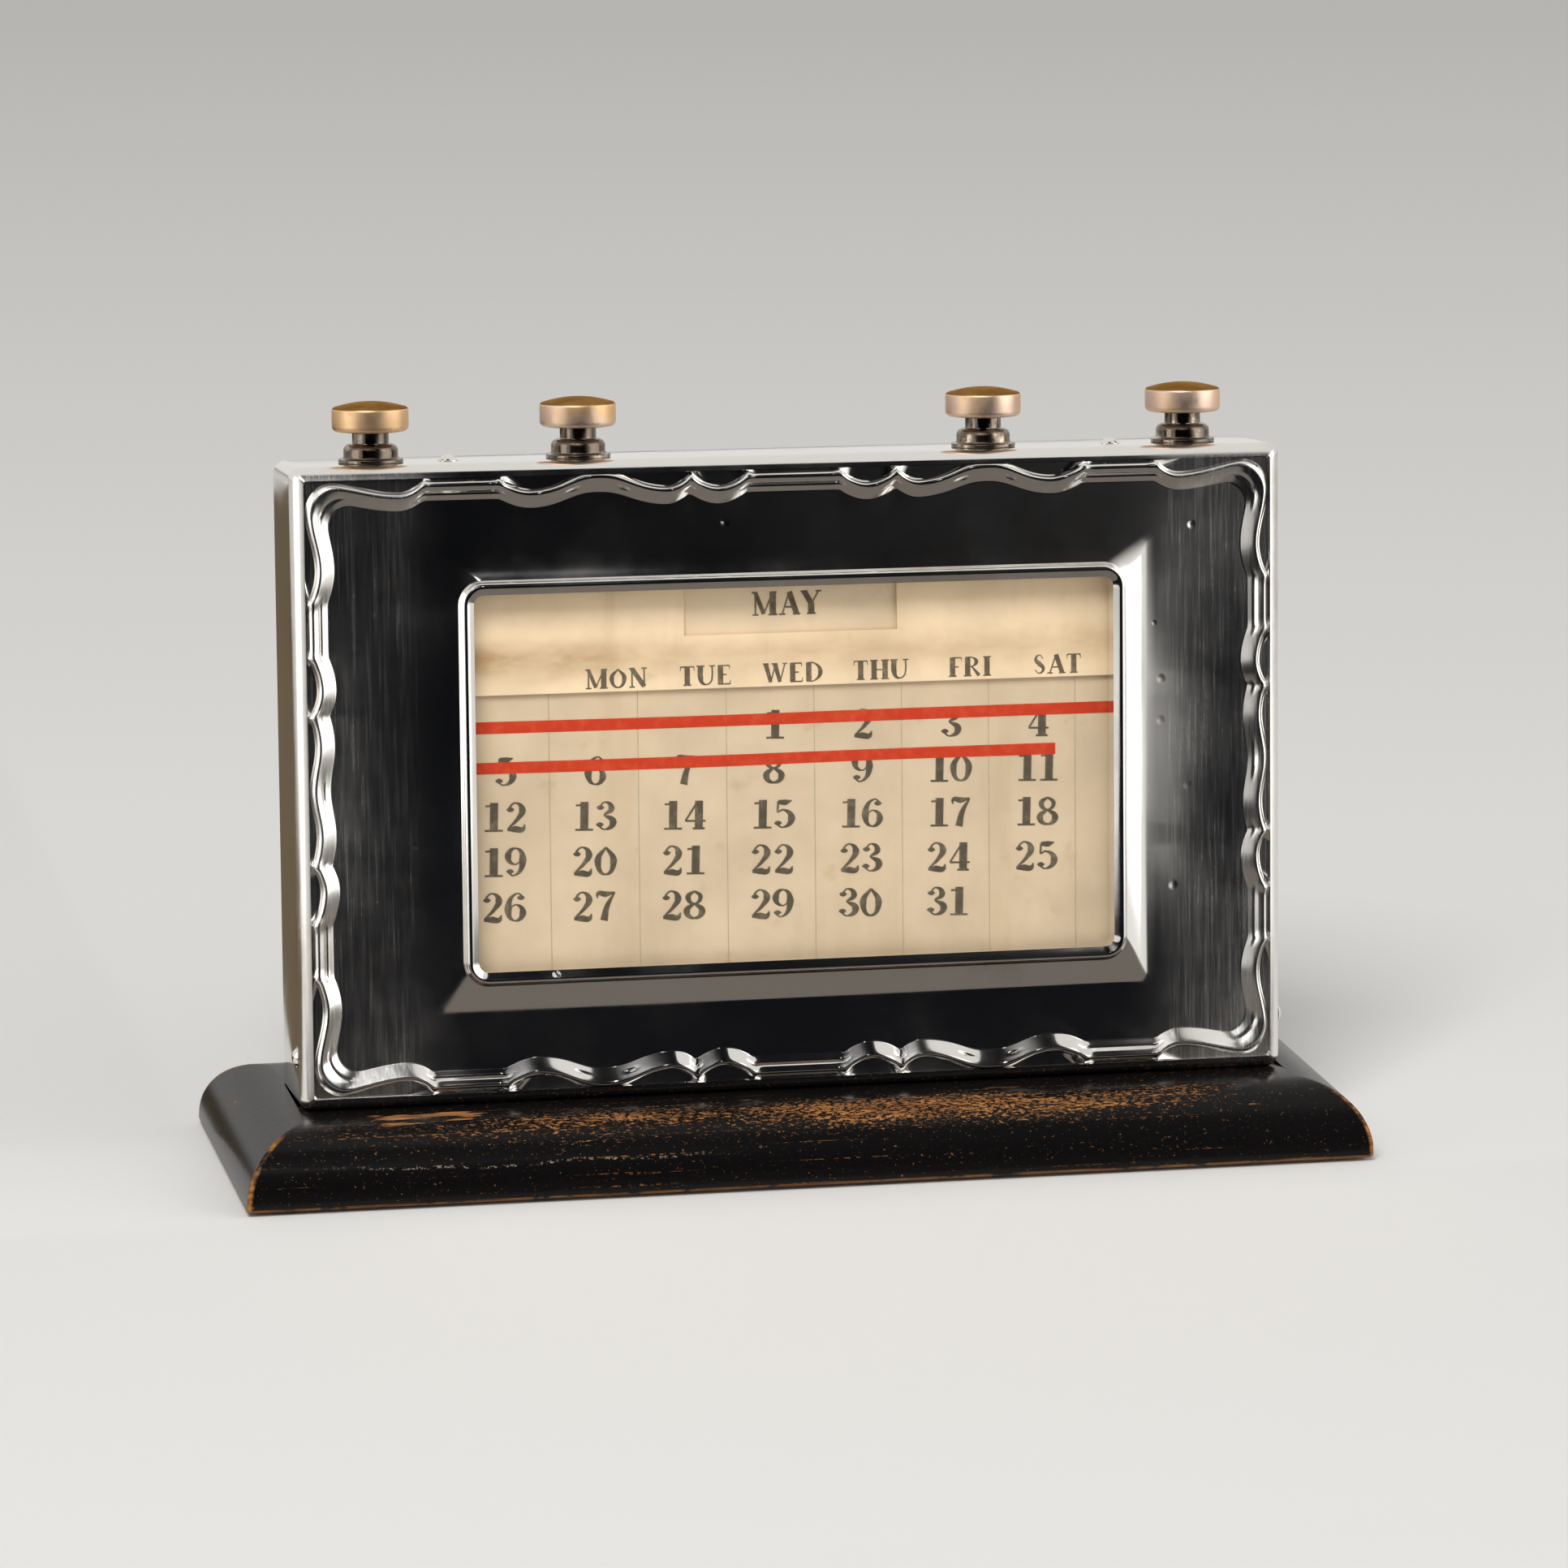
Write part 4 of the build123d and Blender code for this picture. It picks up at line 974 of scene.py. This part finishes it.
# Strokes of each figure and capital in a unit-high box: points of x, height and half width
STROKES = {
    "1": (0.62, [
        stem(0.33),
        serif(0.33, 0.03, 0.25),
        [(0.33, 0.95, THIN), (0.22, 0.88, THIN), (0.09, 0.86, THIN)],
    ]),
    "2": (0.64, [
        [(0.12, 0.72, 0.05), (0.19, 0.9, 0.04), (0.33, 0.965, 0.035), (0.49, 0.73, 0.085),
         (0.38, 0.45, 0.06), (0.1, 0.1, 0.03)],
        [(0.08, 0.07, 0.05), (0.3, 0.08, 0.08), (0.5, 0.07, 0.07), (0.57, 0.24, 0.02)],
        ball(0.16, 0.74),
    ]),
    "3": (0.62, [
        [(0.13, 0.8, 0.04), (0.28, 0.965, 0.03), (0.46, 0.76, 0.08), (0.25, 0.53, 0.03)],
        [(0.25, 0.53, 0.03), (0.51, 0.28, 0.09), (0.28, 0.035, 0.03), (0.1, 0.17, 0.04)],
        ball(0.15, 0.78),
        ball(0.14, 0.2),
    ]),
    "4": (0.66, [
        stem(0.43),
        [(0.4, 0.97, THIN), (0.06, 0.3, THIN)],
        [(0.05, 0.29, 0.04), (0.62, 0.29, 0.04)],
        serif(0.43, 0.03),
    ]),
    "5": (0.62, [
        [(0.14, 0.9, 0.06), (0.34, 0.89, 0.075), (0.52, 0.95, 0.02)],
        [(0.14, 0.93, THIN), (0.12, 0.55, THIN)],
        [(0.12, 0.55, THIN), (0.3, 0.63, 0.04), (0.52, 0.34, 0.09), (0.28, 0.035, 0.03), (0.1, 0.15, 0.04)],
        ball(0.14, 0.18),
    ]),
    "6": (0.62, [
        [(0.5, 0.86, 0.04), (0.36, 0.965, 0.03), (0.11, 0.42, 0.09), (0.3, 0.035, 0.03), (0.52, 0.3, 0.085),
         (0.34, 0.58, 0.03), (0.15, 0.44, 0.03)],
        ball(0.46, 0.82),
    ]),
    "7": (0.6, [
        [(0.08, 0.76, 0.02), (0.1, 0.92, 0.06), (0.3, 0.9, 0.075), (0.57, 0.96, 0.03)],
        [(0.56, 0.95, 0.03), (0.36, 0.5, 0.07), (0.27, 0.0, 0.09)],
    ]),
    "8": (0.62, [
        [(0.31, 0.965, THIN), (0.13, 0.75, 0.075), (0.31, 0.53, 0.04), (0.48, 0.76, 0.065),
         (0.31, 0.965, THIN)],
        [(0.31, 0.54, 0.04), (0.1, 0.27, 0.085), (0.31, 0.035, THIN), (0.53, 0.27, 0.085),
         (0.31, 0.54, 0.04)],
    ]),
    "9": (0.62, [
        [(0.12, 0.14, 0.04), (0.26, 0.035, 0.03), (0.51, 0.58, 0.09), (0.32, 0.965, 0.03), (0.1, 0.7, 0.085),
         (0.28, 0.42, 0.03), (0.47, 0.56, 0.03)],
        ball(0.16, 0.18),
    ]),
    "0": (0.64, [
        [(0.32, 0.965, THIN), (0.1, 0.5, THICK), (0.32, 0.035, THIN), (0.54, 0.5, THICK),
         (0.32, 0.965, THIN)],
    ]),
    "A": (0.74, [
        [(0.1, 0.03, THIN), (0.37, 0.97, THIN)],
        [(0.37, 0.97, THICK), (0.64, 0.03, THICK)],
        [(0.2, 0.33, THIN), (0.52, 0.33, THIN)],
        serif(0.1, 0.03, 0.12),
        serif(0.64, 0.03, 0.14),
    ]),
    "D": (0.78, [
        stem(0.16),
        [(0.08, 0.965, THIN), (0.4, 0.94, 0.04), (0.66, 0.5, THICK), (0.4, 0.06, 0.04), (0.08, 0.035, THIN)],
    ]),
    "E": (0.64, [
        stem(0.16),
        [(0.06, 0.965, THIN), (0.54, 0.965, THIN)],
        [(0.16, 0.51, THIN), (0.42, 0.51, THIN)],
        [(0.06, 0.035, THIN), (0.57, 0.035, THIN)],
        [(0.54, 0.97, 0.035), (0.55, 0.78, 0.015)],
        [(0.57, 0.03, 0.035), (0.59, 0.24, 0.015)],
    ]),
    "F": (0.6, [
        stem(0.16),
        [(0.06, 0.965, THIN), (0.54, 0.965, THIN)],
        [(0.16, 0.5, THIN), (0.42, 0.5, THIN)],
        [(0.54, 0.97, 0.035), (0.55, 0.78, 0.015)],
        serif(0.16, 0.03),
    ]),
    "H": (0.82, [
        stem(0.17), stem(0.65), [(0.17, 0.5, THIN), (0.65, 0.5, THIN)],
        serif(0.17, 0.03), serif(0.17, 0.97), serif(0.65, 0.03), serif(0.65, 0.97),
    ]),
    "I": (0.38, [stem(0.19), serif(0.19, 0.03), serif(0.19, 0.97)]),
    "M": (0.96, [
        stem(0.15, THIN), stem(0.8),
        [(0.15, 0.97, 0.07), (0.46, 0.06, 0.07)],
        [(0.46, 0.06, THIN), (0.8, 0.97, THIN)],
        serif(0.15, 0.03, 0.12), serif(0.8, 0.03), serif(0.12, 0.97, 0.1), serif(0.83, 0.97, 0.12),
    ]),
    "N": (0.82, [
        stem(0.15, THIN), stem(0.67, THIN),
        [(0.15, 0.96, THICK), (0.67, 0.05, THICK)],
        serif(0.15, 0.03, 0.12), serif(0.12, 0.97, 0.1), serif(0.67, 0.97, 0.12),
    ]),
    "O": (0.78, [
        [(0.39, 0.965, THIN), (0.12, 0.5, THICK), (0.39, 0.035, THIN), (0.66, 0.5, THICK),
         (0.39, 0.965, THIN)],
    ]),
    "R": (0.76, [
        stem(0.16), serif(0.16, 0.03),
        [(0.06, 0.965, THIN), (0.38, 0.95, 0.035), (0.54, 0.74, 0.08), (0.38, 0.52, 0.035),
         (0.16, 0.5, THIN)],
        [(0.34, 0.5, 0.04), (0.66, 0.03, 0.075)],
    ]),
    "S": (0.6, [
        [(0.46, 0.77, 0.025), (0.3, 0.965, 0.032), (0.14, 0.75, 0.065), (0.3, 0.52, THICK),
         (0.47, 0.25, 0.065), (0.29, 0.035, 0.032), (0.1, 0.23, 0.025)],
    ]),
    "T": (0.7, [
        stem(0.35), serif(0.35, 0.03),
        [(0.06, 0.955, 0.04), (0.64, 0.955, 0.04)],
        [(0.07, 0.96, 0.035), (0.05, 0.74, 0.015)],
        [(0.63, 0.96, 0.035), (0.65, 0.74, 0.015)],
    ]),
    "U": (0.8, [
        [(0.16, 0.97, THICK), (0.16, 0.4, THICK), (0.24, 0.12, 0.06), (0.4, 0.035, 0.035),
         (0.6, 0.16, THIN), (0.66, 0.4, THIN), (0.66, 0.97, THIN)],
        serif(0.16, 0.97), serif(0.66, 0.97, 0.12),
    ]),
    "W": (1.06, [
        [(0.12, 0.97, THICK), (0.33, 0.04, 0.07)],
        [(0.33, 0.04, THIN), (0.53, 0.9, THIN)],
        [(0.52, 0.95, THICK), (0.73, 0.04, 0.07)],
        [(0.73, 0.04, THIN), (0.95, 0.97, THIN)],
        serif(0.12, 0.97, 0.13), serif(0.95, 0.97, 0.1), serif(0.5, 0.97, 0.13),
    ]),
    "Y": (0.72, [
        [(0.1, 0.97, THICK), (0.36, 0.46, THICK)],
        [(0.64, 0.97, THIN), (0.38, 0.46, THIN)],
        [(0.36, 0.02, THICK), (0.36, 0.5, THICK)],
        serif(0.36, 0.03), serif(0.1, 0.97, 0.13), serif(0.64, 0.97, 0.11),
    ]),
}


def word_strokes(word, centre, baseline, height, stretch=1.0, spread=0.0):
    """Strokes of a word or number in millimetres: stretched sideways, spread apart, centred on a baseline."""
    width = sum(STROKES[sign][0] * stretch + spread for sign in word) * height
    cursor = centre - width / 2
    strokes = []
    for sign in word:
        advance, lines = STROKES[sign]
        for line in lines:
            knots = []
            for x, z, half in line:
                bold = half + max(half - THIN, 0) * BOLDNESS
                knots.append((cursor + x * stretch * height, baseline + z * height, bold * height))
            strokes.append(knots)
        cursor += (advance * stretch + spread) * height
    return strokes


def print_strokes(name, strokes, depth, ink, turn=0.0, pivot=(0, 0)):
    """Print strokes on paper: swelling bezier lines, flattened to a film of ink at a depth in the case."""
    curve = bpy.data.curves.new(name, "CURVE")
    curve.dimensions = "3D"
    curve.bevel_depth = 1.0
    curve.bevel_resolution = 1
    curve.resolution_u = 6
    curve.use_fill_caps = True
    for stroke in strokes:
        spline = curve.splines.new("BEZIER")
        spline.bezier_points.add(len(stroke) - 1)
        for knot, (x, z, half) in zip(spline.bezier_points, stroke):
            knot.co = (x, 0, z)
            knot.radius = half
            knot.handle_left_type = "AUTO"
            knot.handle_right_type = "AUTO"
    drawn = bpy.data.objects.new(name, curve)
    mesh = bpy.data.meshes.new_from_object(drawn)
    bpy.data.objects.remove(drawn)
    bpy.data.curves.remove(curve)
    mesh.transform(Matrix.Diagonal((1, INK_FLATNESS, 1, 1)))
    centre = Vector((pivot[0], 0, pivot[1]))
    tilt = Matrix.Rotation(math.radians(turn), 4, "Y")
    tilted = Matrix.Translation(centre) @ tilt @ Matrix.Translation(-centre)
    bm = bmesh.new()
    bm.from_mesh(mesh)
    bpy.data.meshes.remove(mesh)
    place = CASE @ Matrix.Translation((0, depth - INK_LIFT, 0)) @ tilted
    return make_piece(name, bm, place, [ink])


# The sheet of dates: five rows of figures in seven ruled columns
FIGURE_HEIGHT = 3.65
FIGURE_STRETCH = 1.24
FIRST_COLUMN = -36.2
COLUMN_PITCH = 11.27
FIRST_ROW = 43.7
ROW_PITCH = 5.61
FIRST_DAY_COLUMN = 3
LAST_DAY = 31
FIRST_RULE = -30.5
RULE_PITCH = 11.16
RULE_FOOT = 14.5
RULE_HEAD = 51.0
RULE_HALF_WIDTH = 0.05
SHEET_TILT = 1.5
SHEET_PIVOT = (-2.5, 32.65)

figures = []
for day in range(1, LAST_DAY + 1):
    row, column = divmod(day - 1 + FIRST_DAY_COLUMN, 7)
    place = FIRST_COLUMN + column * COLUMN_PITCH
    baseline = FIRST_ROW - row * ROW_PITCH
    figures += word_strokes(str(day), place, baseline, FIGURE_HEIGHT, FIGURE_STRETCH)
print_strokes("date_figures", figures, STRIP_FRONT, BLACK_INK, SHEET_TILT, SHEET_PIVOT)

rules = []
for column in range(7):
    x = FIRST_RULE + column * RULE_PITCH
    rules.append([(x, RULE_FOOT, RULE_HALF_WIDTH), (x, RULE_HEAD, RULE_HALF_WIDTH)])
print_strokes("column_rules", rules, STRIP_FRONT, RULE_INK)

# Two red bars across the first rows: points of x, height and half width
red_bars = [
    [(-40.8, 46.25, 0.86), (-10, 46.15, 0.82), (15, 46.2, 0.85), (41.2, 46.2, 0.84)],
    [(-40.6, 41.25, 0.82), (-12, 41.15, 0.84), (12, 41.25, 0.80), (33.9, 41.2, 0.84)],
]
print_strokes("red_bars", red_bars, STRIP_FRONT - INK_LIFT, RED_INK)

# The card of weekdays and the month behind its cut-out
WEEKDAYS = {"MON": -22.0, "TUE": -10.8, "WED": 0.3, "THU": 11.45, "FRI": 22.9, "SAT": 34.1}
WEEKDAY_BASELINE = 50.7
WEEKDAY_HEIGHT = 2.45
WEEKDAY_STRETCH = 1.2
WEEKDAY_SPREAD = 0.07
weekday_strokes = []
for word, centre in WEEKDAYS.items():
    weekday_strokes += word_strokes(
        word, centre, WEEKDAY_BASELINE, WEEKDAY_HEIGHT, WEEKDAY_STRETCH, WEEKDAY_SPREAD
    )
print_strokes("weekday_letters", weekday_strokes, CARD_FRONT, PALE_INK)

MONTH_CENTRE = -0.3
MONTH_BASELINE = 59.05
MONTH_HEIGHT = 2.95
MONTH_STRETCH = 1.15
MONTH_SPREAD = 0.1
month_strokes = word_strokes(
    "MAY", MONTH_CENTRE, MONTH_BASELINE, MONTH_HEIGHT, MONTH_STRETCH, MONTH_SPREAD
)
print_strokes("month_letters", month_strokes, STRIP_FRONT, PALE_INK)


# Stage: floor, background, lamps and camera
FLOOR_REACH = 6.0
FLOOR_COLOUR = (0.78, 0.77, 0.75, 1.0)
ROOM_COLOUR = (1.0, 0.985, 0.96, 1.0)
ROOM_LIGHT = 0.35
ROOM_SEEN = 0.80


def stage_sheet(name, bm, look):
    """A sheet that belongs to the stage, not to the calendar."""
    mesh = bpy.data.meshes.new(name)
    bm.to_mesh(mesh)
    bm.free()
    mesh.materials.append(look.material)
    sheet = bpy.data.objects.new(name, mesh)
    scene.collection.objects.link(sheet)
    return sheet


floor_mesh = bmesh.new()
bmesh.ops.create_grid(floor_mesh, x_segments=1, y_segments=1, size=FLOOR_REACH)
stage_sheet("floor", floor_mesh, Finish("floor", Roughness=0.9, Base_Color=FLOOR_COLOUR))


def reflected_only(sheet):
    """Keep a stage sheet out of everything but reflections in metal and polish."""
    sheet.visible_camera = False
    sheet.visible_diffuse = False
    sheet.visible_shadow = False
    sheet.visible_transmission = False


# A dark canopy stands in front of the case, seen only in reflections, so that the mirror-like face reads dark
CANOPY_RADIUS = 1.5
CANOPY_FOOT = 0.10
CANOPY_LIFT = 0.002
CANOPY_START = math.radians(-49)
CANOPY_SWEEP = math.radians(87)
CANOPY_STEPS = 36
CANOPY_LOW = 5
CANOPY_HIGH = 80
CANOPY_RISE_STEPS = 15
CANOPY_COLOUR = (0.006, 0.0065, 0.008, 1.0)
CANOPY_LEFT_FADE = (-1.13, -1.02)
CANOPY_GLOW = (0.24, 0.48)
CANOPY_GLOW_LIGHT = 0.018
CANOPY_RIGHT_FADE = (0.53, 0.93)
CANOPY_EDGE_LIGHT = 0.8
canopy_profile = [(CANOPY_FOOT, CANOPY_LIFT), (CANOPY_RADIUS, CANOPY_LIFT)]
canopy_profile += arc(0, CANOPY_LIFT, CANOPY_RADIUS, CANOPY_LOW, CANOPY_HIGH, CANOPY_RISE_STEPS)
canopy_mesh = bmesh.new()
canopy_turn = Matrix.Rotation(CANOPY_START, 4, "Z")
canopy_verts = [canopy_mesh.verts.new(canopy_turn @ Vector((0, -r, z))) for r, z in canopy_profile]
canopy_edges = [canopy_mesh.edges.new(pair) for pair in zip(canopy_verts, canopy_verts[1:])]
bmesh.ops.spin(
    canopy_mesh, geom=canopy_verts + canopy_edges, cent=(0, 0, 0), axis=(0, 0, 1),
    angle=CANOPY_SWEEP, steps=CANOPY_STEPS,
)
canopy_look = Finish("dark_canopy", Roughness=1.0, Specular_IOR_Level=0.0, Base_Color=CANOPY_COLOUR)
left_fade = canopy_look.rise(canopy_look.x, *CANOPY_LEFT_FADE, CANOPY_EDGE_LIGHT, 0.0)
right_fade = canopy_look.rise(canopy_look.x, *CANOPY_RIGHT_FADE, 0.0, CANOPY_EDGE_LIGHT)
canopy_look.feed("Emission Color", ROOM_COLOUR)
right_glow = canopy_look.rise(canopy_look.x, *CANOPY_GLOW, 0.0, CANOPY_GLOW_LIGHT)
right_light = canopy_look.sums("ADD", right_glow, right_fade)
canopy_look.feed("Emission Strength", canopy_look.sums("MAXIMUM", left_fade, right_light))
reflected_only(stage_sheet("dark_canopy", canopy_mesh, canopy_look))


def floor_mat(name, low, high, colour):
    """A mat on the floor between two corners, seen only in reflections."""
    bm = bmesh.new()
    bmesh.ops.create_grid(bm, x_segments=1, y_segments=1, size=0.5)
    bmesh.ops.scale(bm, vec=(high[0] - low[0], high[1] - low[1], 1), verts=bm.verts)
    middle = ((low[0] + high[0]) / 2, (low[1] + high[1]) / 2, CANOPY_LIFT / 2)
    bmesh.ops.translate(bm, vec=middle, verts=bm.verts)
    look = Finish(name, Roughness=1.0, Specular_IOR_Level=0.0, Base_Color=(*colour, 1.0))
    reflected_only(stage_sheet(name, bm, look))


# Mats that the metal mirrors: one in front of the plinth, and one behind to the left for the case's side
floor_mat("front_mat", (-0.2, -0.15), (0.2, -0.024), (0.17, 0.155, 0.14))
floor_mat("side_mat", (-0.32, 0.015), (-0.073, 0.45), (0.17, 0.13, 0.085))


def glow_card(name, azimuth, distance, width, height, light):
    """An upright glowing card, seen only in reflections; its azimuth runs from the front to the right."""
    bm = bmesh.new()
    bmesh.ops.create_grid(bm, x_segments=1, y_segments=1, size=0.5)
    upright = Matrix.Rotation(math.pi / 2, 4, "X") @ Matrix.Diagonal((width, height, 1, 1))
    standing = Matrix.Translation((0, -distance, height / 2 + CANOPY_LIFT))
    place = Matrix.Rotation(math.radians(azimuth), 4, "Z") @ standing
    bmesh.ops.transform(bm, matrix=place @ upright, verts=bm.verts)
    look = Finish(
        name, Roughness=1.0, Specular_IOR_Level=0.0, Emission_Color=ROOM_COLOUR, Emission_Strength=light
    )
    reflected_only(stage_sheet(name, bm, look))


# Cards that light the metal from both sides
glow_card("left_card", -80, 0.45, 0.25, 0.35, 1.8)
glow_card("right_card", 60, 0.45, 0.22, 0.35, 1.8)


def area_lamp(name, place, aim, width, height, power):
    """A soft lamp of a width and height in metres and a power in watts."""
    lamp = bpy.data.lights.new(name, "AREA")
    lamp.shape = "RECTANGLE"
    lamp.size = width
    lamp.size_y = height
    lamp.energy = power
    holder = bpy.data.objects.new(name, lamp)
    turn = (Vector(aim) - Vector(place)).to_track_quat("-Z", "Y").to_matrix().to_4x4()
    holder.matrix_world = Matrix.Translation(place) @ turn
    scene.collection.objects.link(holder)


LAMP_AIM = (0, 0, 0.05)
area_lamp("right_softbox", (2.0, -0.9, 0.85), LAMP_AIM, 2.2, 2.0, 16.8)
area_lamp("front_fill", (-0.6, -1.2, 1.6), LAMP_AIM, 0.9, 0.9, 31.0)
area_lamp("upper_strip", (0.12, -1.0, 1.0), LAMP_AIM, 0.03, 0.1, 0.1)

# The room looks paler to the camera, metal and glass than the light that it gives
world = bpy.data.worlds.new("pale_room")
world.use_nodes = True
scene.world = world
room = world.node_tree
ray = room.nodes.new("ShaderNodeLightPath")
seen = room.nodes.new("ShaderNodeMath")
seen.operation = "MAXIMUM"
room.links.new(ray.outputs["Is Camera Ray"], seen.inputs[0])
room.links.new(ray.outputs["Is Glossy Ray"], seen.inputs[1])
seen_too = room.nodes.new("ShaderNodeMath")
seen_too.operation = "MAXIMUM"
room.links.new(seen.outputs[0], seen_too.inputs[0])
room.links.new(ray.outputs["Is Transmission Ray"], seen_too.inputs[1])
room_light = room.nodes.new("ShaderNodeMapRange")
room_light.inputs["To Min"].default_value = ROOM_LIGHT
room_light.inputs["To Max"].default_value = ROOM_SEEN
room.links.new(seen_too.outputs[0], room_light.inputs["Value"])
room.links.new(room_light.outputs["Result"], room.nodes["Background"].inputs["Strength"])
room.nodes["Background"].inputs["Color"].default_value = ROOM_COLOUR

# Camera, fitted to the photograph's square frame
PHOTO_SIDE = 1932
FOCAL_PIXELS = 8300.3
CAMERA_AZIMUTH = math.radians(12.89)
CAMERA_ELEVATION = math.radians(12.93)
CAMERA_ROLL = math.radians(0.80)
CAMERA_DISTANCE = 0.8278
CAMERA_AIM = Vector((-0.00264, -0.0094, 0.04846))

camera = bpy.data.cameras.new("photo_camera")
camera.sensor_width = 36.0
camera.lens = camera.sensor_width * FOCAL_PIXELS / PHOTO_SIDE
camera.clip_start = 0.01
camera_holder = bpy.data.objects.new("photo_camera", camera)
scene.collection.objects.link(camera_holder)
level = math.cos(CAMERA_ELEVATION)
towards_camera = Vector((
    -math.sin(CAMERA_AZIMUTH) * level,
    -math.cos(CAMERA_AZIMUTH) * level,
    math.sin(CAMERA_ELEVATION),
))
aimed = towards_camera.to_track_quat("Z", "Y").to_matrix().to_4x4()
rolled = Matrix.Rotation(CAMERA_ROLL, 4, "Z")
camera_place = Matrix.Translation(CAMERA_AIM + towards_camera * CAMERA_DISTANCE)
camera_holder.matrix_world = camera_place @ aimed @ rolled
scene.camera = camera_holder
scene.view_settings.view_transform = "Standard"
